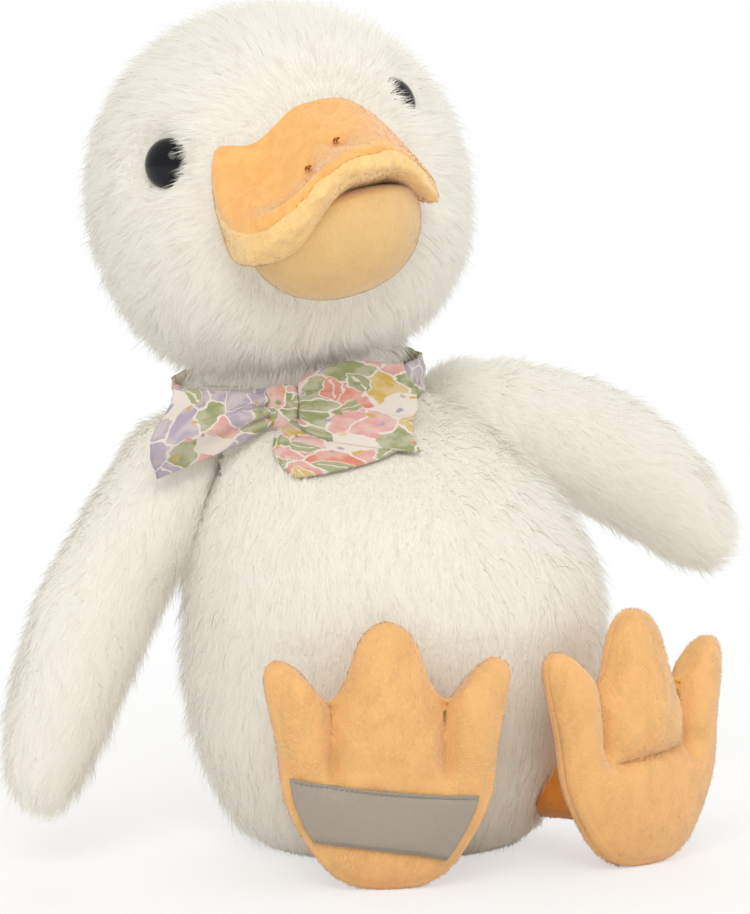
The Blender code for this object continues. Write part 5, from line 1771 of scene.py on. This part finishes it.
class DUCK_OT_bow(bpy.types.Operator):
    """Make the cotton neck ribbon, the knot and the two flared ends of the bow."""

    bl_idname = "duck.make_bow"
    bl_label = "Make Bow"

    def execute(self, context):
        bow = context.scene.duck_bow
        colours = [tuple(part) for part in (bow.pink, bow.coral, bow.lilac, bow.sage, bow.mustard)]
        finish = printed_cotton_finish("printed_cotton", tuple(bow.ground), colours, bow.motif)
        self.make_ribbon(finish)
        self.make_knot(finish)
        for side in (RIGHT, LEFT):
            self.make_end(side, finish)
        self.make_flap(finish)
        return {"FINISHED"}

    @staticmethod
    def make_ribbon(finish):
        """A folded strip round the neck, with soft creases."""
        bm = bmesh.new()
        profile = [
            bm.verts.new((RIBBON_RADIUS + 0.0005, 0, RIBBON_WIDTH * (step / 8 - 0.5)))
            for step in range(9)
        ]
        edges = [bm.edges.new(pair) for pair in zip(profile, profile[1:])]
        bmesh.ops.spin(
            bm, geom=profile + edges, axis=(0, 0, 1), cent=(0, 0, 0), steps=180, angle=2 * pi,
            use_merge=True)
        layer = bm.loops.layers.uv.new("cut")
        length = 2 * pi * RIBBON_RADIUS
        for face in bm.faces:
            middle = face.calc_center_median()
            turn = atan2(middle.y, middle.x)
            for loop in face.loops:
                angle = atan2(loop.vert.co.y, loop.vert.co.x)
                while angle - turn > pi:
                    angle -= 2 * pi
                while angle - turn < -pi:
                    angle += 2 * pi
                loop[layer].uv = ((angle / (2 * pi) + 0.5) * length, loop.vert.co.z + 0.05)
        for vert in bm.verts:
            turn = atan2(vert.co.y, vert.co.x)
            share = vert.co.z / (RIBBON_WIDTH / 2)
            crease = 0.0004 * sin(turn * 19 + share * 1.5) + 0.0004 * sin(turn * 7 - share * 2)
            slant = 0.0006 * cos(share * pi * 1.5 + turn * 3)
            reach = RIBBON_RADIUS + 0.0010 + crease + slant
            vert.co = Vector((reach * cos(turn), reach * sin(turn), vert.co.z * (1 + 0.04 * sin(turn * 5))))
        bm.transform(ribbon_place())
        ribbon = object_from("neck_ribbon_cotton", bm)
        DUCK_OT_foot_band.close_cloth(ribbon, 0.0009)
        seat_piece(ribbon, "body", ["neck_ribbon"], finish)

    @staticmethod
    def make_knot(finish):
        """A soft knot wrapped by one turn of the strip, creased along its length."""
        turn = (ribbon_place() @ bow_turn()).to_3x3().to_4x4()

        def shape(along, c, s):
            spread = round_off(along, 2.8)
            crease = 1 - 0.09 * (0.5 + 0.5 * cos(atan2(s, c) * 5 + along * 1.2))
            waist = 1 - 0.10 * (1 - along * along)
            return Vector((
                KNOT_HALF_WIDTH * 1.04 * spread * c * crease * waist,
                KNOT_HALF_DEPTH * 1.04 * spread * s * crease,
                KNOT_HALF_HEIGHT * along,
            ))

        bm = ball_mesh(shape, 64, 40)
        layer = bm.loops.layers.uv.new("cut")
        for face in bm.faces:
            for loop in face.loops:
                x, y, z = loop.vert.co
                loop[layer].uv = (x * 1.2 + 0.31, z * 1.2 + 0.17 + y * 0.5)
        bm.transform(Matrix.Translation(knot_centre()) @ turn)
        knot = object_from("bow_knot_cotton", bm)
        seat_piece(knot, "body", ["bow_knot"], finish)

    @staticmethod
    def off_breast(point, standoff=BOW_STANDOFF + 0.0012):
        x, y = body_axis(point.z)
        aside, ahead = point.x - x, y - point.y
        turn = atan2(aside, ahead)
        spread = max(body_spread(point.z), 1e-6)
        wide, deep = BODY_HALF_WIDTH * spread, BODY_HALF_DEPTH * spread
        breast = wide * deep / hypot(deep * sin(turn), wide * cos(turn))
        least = max(breast, RIBBON_RADIUS + RIBBON_FORWARD + RIBBON_THICKNESS) + standoff
        far = max(hypot(aside, ahead), least)
        return Vector((x + far * sin(turn), y - far * cos(turn), point.z))

    def make_end(self, side, finish):
        """One end of the bow: gathered at the knot, flared and folded towards its cut edge."""
        reach, half_height = BOW_REACH[side], BOW_HALF_HEIGHT[side]
        splay = BOW_SPLAY[side]
        turn = (ribbon_place() @ bow_turn() @ Matrix.Rotation(splay, 4, "Z")).to_3x3()
        knot_reach = 1 / hypot(cos(splay) / KNOT_HALF_WIDTH, sin(splay) / KNOT_HALF_DEPTH)
        start = knot_reach - 0.0010
        bm = bmesh.new()
        bmesh.ops.create_grid(bm, x_segments=56, y_segments=56, size=0.5)
        layer = bm.loops.layers.uv.new("cut")
        flat = {}
        for vert in bm.verts:
            out, across = vert.co.x + 0.5, vert.co.y * 2
            flare = BOW_ROOT_HALF_HEIGHT + (half_height - BOW_ROOT_HALF_HEIGHT) * out ** BOW_FLARE[side]
            if side == RIGHT:
                cut = 1.10 - 0.30 * float(smooth_step(across, -0.2, 1.0)) - 0.10 * float(
                    smooth_step(-across, 0.4, 1.0))
            else:
                cut = 1.42 - 0.12 * float(smooth_step(across, 0.3, 1.0)) - 0.34 * float(
                    smooth_step(-across, 0.0, 1.0))
                flare *= 1 - 0.22 * float(smooth_step(out, 0.45, 1.0)) * (across > 0)
                flare *= 1 - 0.20 * (across < 0)
            sweep = reach * cut * out / BOW_SWEEP_RADIUS
            gathers = 0.0011 * (1 - out) ** 1.5 * cos(across * 9 + out * 2)
            fold = 0.0026 * out * cos(pi * across) + 0.0010 * out * sin(across * 5 + out * 4)
            away = Vector((
                side * (start + BOW_SWEEP_RADIUS * sin(sweep)),
                BOW_SWEEP_RADIUS * (1 - cos(sweep)) - fold - gathers,
                across * flare - BOW_FALL[side] * out,
            ))
            vert.co = self.off_breast(knot_centre() + turn @ away)
            flat[vert.index] = (out * reach + 0.09 * (side + 2), across * half_height + 0.11)
        for face in bm.faces:
            for loop in face.loops:
                loop[layer].uv = flat[loop.vert.index]
        end = object_from("bow_end_%s_cotton" % SIDE_NAMES[side], bm)
        DUCK_OT_foot_band.close_cloth(end, BOW_CLOTH)
        seat_piece(end, "body", ["bow_tail_" + SIDE_NAMES[side]], finish)
        size = (reach * (1.12 if side == RIGHT else 1.42), 2 * half_height)
        0.80 * size[0] * size[1]

    def make_flap(self, finish):
        """The cut end that hangs under the loop at the duck's left."""
        turn = (ribbon_place() @ bow_turn() @ Matrix.Rotation(BOW_SPLAY[LEFT], 4, "Z")).to_3x3()
        bm = bmesh.new()
        bmesh.ops.create_grid(bm, x_segments=40, y_segments=40, size=0.5)
        layer = bm.loops.layers.uv.new("cut")
        flat = {}
        near = (Vector((-0.0010, -0.0050)), Vector((0.0040, -0.0035)))
        far = (Vector((0.0085, -0.0212)), Vector((0.0225, -0.0200)), Vector((0.0375, -0.0130)))
        for vert in bm.verts:
            out, share = vert.co.x + 0.5, vert.co.y + 0.5
            root = near[0].lerp(near[1], share)
            tip = far[0].lerp(far[1], share).lerp(far[1].lerp(far[2], share), share)
            place = root.lerp(tip, out)
            place.x -= 0.0035 * sin(pi * out) * (1 - share) ** 2
            wave = 0.0010 * out * sin(share * 7 + 1) + 0.0008 * (1 - out) * cos(share * 12)
            away = Vector((place.x, -0.0006 - wave, place.y))
            vert.co = self.off_breast(knot_centre() + turn @ away, BOW_STANDOFF + 0.0002)
            flat[vert.index] = (out * 0.026 + 0.19, share * 0.032 + 0.21)
        for face in bm.faces:
            for loop in face.loops:
                loop[layer].uv = flat[loop.vert.index]
        flap = object_from("bow_flap_cotton", bm)
        DUCK_OT_foot_band.close_cloth(flap, BOW_CLOTH)
        seat_piece(flap, "body", [], finish)


class DUCK_OT_stage(bpy.types.Operator):
    """Make the floor, the soft lights and the camera."""

    bl_idname = "duck.make_stage"
    bl_label = "Make Stage"

    def execute(self, context):
        stage = context.scene.duck_stage
        self.make_floor(stage)
        self.make_world()
        for name, place, size, power, colour in (
            ("key", (-0.55, -0.95, 1.05), 0.9, 9.2, (1.0, 0.985, 0.965)),
            ("fill", (0.95, -0.55, 0.55), 0.9, 2.2, (1.0, 0.97, 0.96)),
            ("back", (0.35, 0.95, 0.95), 0.9, 4.0, (1.0, 1.0, 1.0)),
        ):
            lamp = bpy.data.lights.new(name, "AREA")
            lamp.shape = "DISK"
            lamp.size = size
            lamp.energy = power
            lamp.color = colour
            light = bpy.data.objects.new(name, lamp)
            light.location = place
            aim = Vector((0, 0, 0.12)) - Vector(place)
            light.rotation_euler = aim.to_track_quat("-Z", "Y").to_euler()
            context.scene.collection.objects.link(light)
        self.make_camera(context, stage)
        context.scene.view_settings.view_transform = "Standard"
        return {"FINISHED"}

    @staticmethod
    def make_floor(stage):
        bm = bmesh.new()
        bmesh.ops.create_grid(bm, x_segments=1, y_segments=1, size=4.0)
        floor = object_from("floor", bm, smooth=False)
        finish = Finish("floor_paper")
        where = finish.place()
        mottle = finish.grain(where, 0.20, 2.0)
        colour = tuple(stage.floor_colour)
        finish.set(base_color=finish.mix(mottle * 0.3, colour, shade(colour, 0.985)), roughness=0.7)
        finish.shader.inputs["Specular IOR Level"].default_value = 0.1
        rays = finish.node("ShaderNodeLightPath", {}, {})
        seen = Wire(finish, rays.outputs["Is Camera Ray"])
        seen = seen.maths("MAXIMUM", seen, Wire(finish, rays.outputs["Is Glossy Ray"]))
        seen = seen.maths("MAXIMUM", seen, Wire(finish, rays.outputs["Is Transmission Ray"]))
        white = finish.node("ShaderNodeEmission", {}, {"Color": (1.0, 1.0, 1.0), "Strength": 1.0})
        split = finish.node("ShaderNodeSeparateXYZ", {}, {0: where})
        x, y = Wire(finish, split.outputs[0]), Wire(finish, split.outputs[1])
        far = 1 - ((x * x + y * y) ** 0.5).below(0.34, 0.20)
        both = finish.node("ShaderNodeMixShader", {}, {
            0: seen * (far * 0.45 + 0.55), 1: finish.shader.outputs[0], 2: white.outputs[0]})
        output = finish.tree.nodes["Material Output"]
        finish.tree.links.new(both.outputs[0], output.inputs["Surface"])
        floor.data.materials.append(finish.material)

    @staticmethod
    def make_world():
        world = bpy.data.worlds.new("studio")
        bpy.context.scene.world = world
        world.use_nodes = True
        tree = world.node_tree
        light = tree.nodes["Background"]
        light.inputs[0].default_value = (1.0, 0.995, 0.985, 1)
        light.inputs[1].default_value = 0.66
        white = tree.nodes.new("ShaderNodeBackground")
        white.inputs[0].default_value = (1, 1, 1, 1)
        rays = tree.nodes.new("ShaderNodeLightPath")
        mix = tree.nodes.new("ShaderNodeMixShader")
        tree.links.new(rays.outputs["Is Camera Ray"], mix.inputs[0])
        tree.links.new(light.outputs[0], mix.inputs[1])
        tree.links.new(white.outputs[0], mix.inputs[2])
        tree.links.new(mix.outputs[0], tree.nodes["World Output"].inputs["Surface"])

    @staticmethod
    def make_camera(context, stage):
        """The photograph's viewpoint: the seat's middle stands at pixel 395, 838 of 750 by 914."""
        a, e, far = stage.azimuth, stage.elevation, stage.distance
        ahead = -Vector((sin(a) * cos(e), -cos(a) * cos(e), sin(e)))
        right = Vector((cos(a), sin(a), 0))
        up = right.cross(ahead)
        focus = stage.lens / 36 * 914
        camera = bpy.data.cameras.new("camera")
        camera.lens = stage.lens
        camera.sensor_width = 36
        eye = bpy.data.objects.new("camera", camera)
        eye.location = -ahead * far - right * (20 / focus * far) + up * (381 / focus * far)
        eye.rotation_euler = ahead.to_track_quat("-Z", "Y").to_euler()
        context.scene.collection.objects.link(eye)
        context.scene.camera = eye


OPERATORS = (
    DUCK_OT_head,
    DUCK_OT_body,
    DUCK_OT_tail,
    DUCK_OT_wings,
    DUCK_OT_bill,
    DUCK_OT_eyes,
    DUCK_OT_legs,
    DUCK_OT_feet,
    DUCK_OT_foot_band,
    DUCK_OT_bow,
    DUCK_OT_stage,
)


class DUCK_PT_panel(bpy.types.Panel):
    """Lists the duck's settings and the steps that make it."""

    bl_label = "Plush Duck"
    bl_idname = "DUCK_PT_panel"
    bl_space_type = "VIEW_3D"
    bl_region_type = "UI"
    bl_category = "Plush Duck"

    def draw(self, context):
        for name, group in GROUPS.items():
            box = self.layout.box()
            box.label(text=group.__doc__)
            for field in group.__annotations__:
                box.prop(getattr(context.scene, name), field)
        for operator in OPERATORS:
            self.layout.operator(operator.bl_idname)


CLASSES = (*GROUPS.values(), *OPERATORS, DUCK_PT_panel)


def register():
    for kind in CLASSES:
        bpy.utils.register_class(kind)
    for name, group in GROUPS.items():
        setattr(bpy.types.Scene, name, PointerProperty(type=group))


def unregister():
    for name in GROUPS:
        delattr(bpy.types.Scene, name)
    for kind in reversed(CLASSES):
        bpy.utils.unregister_class(kind)


def main():
    register()
    for operator in OPERATORS:
        group, name = operator.bl_idname.split(".")
        getattr(getattr(bpy.ops, group), name)()


if __name__ == "__main__":
    main()
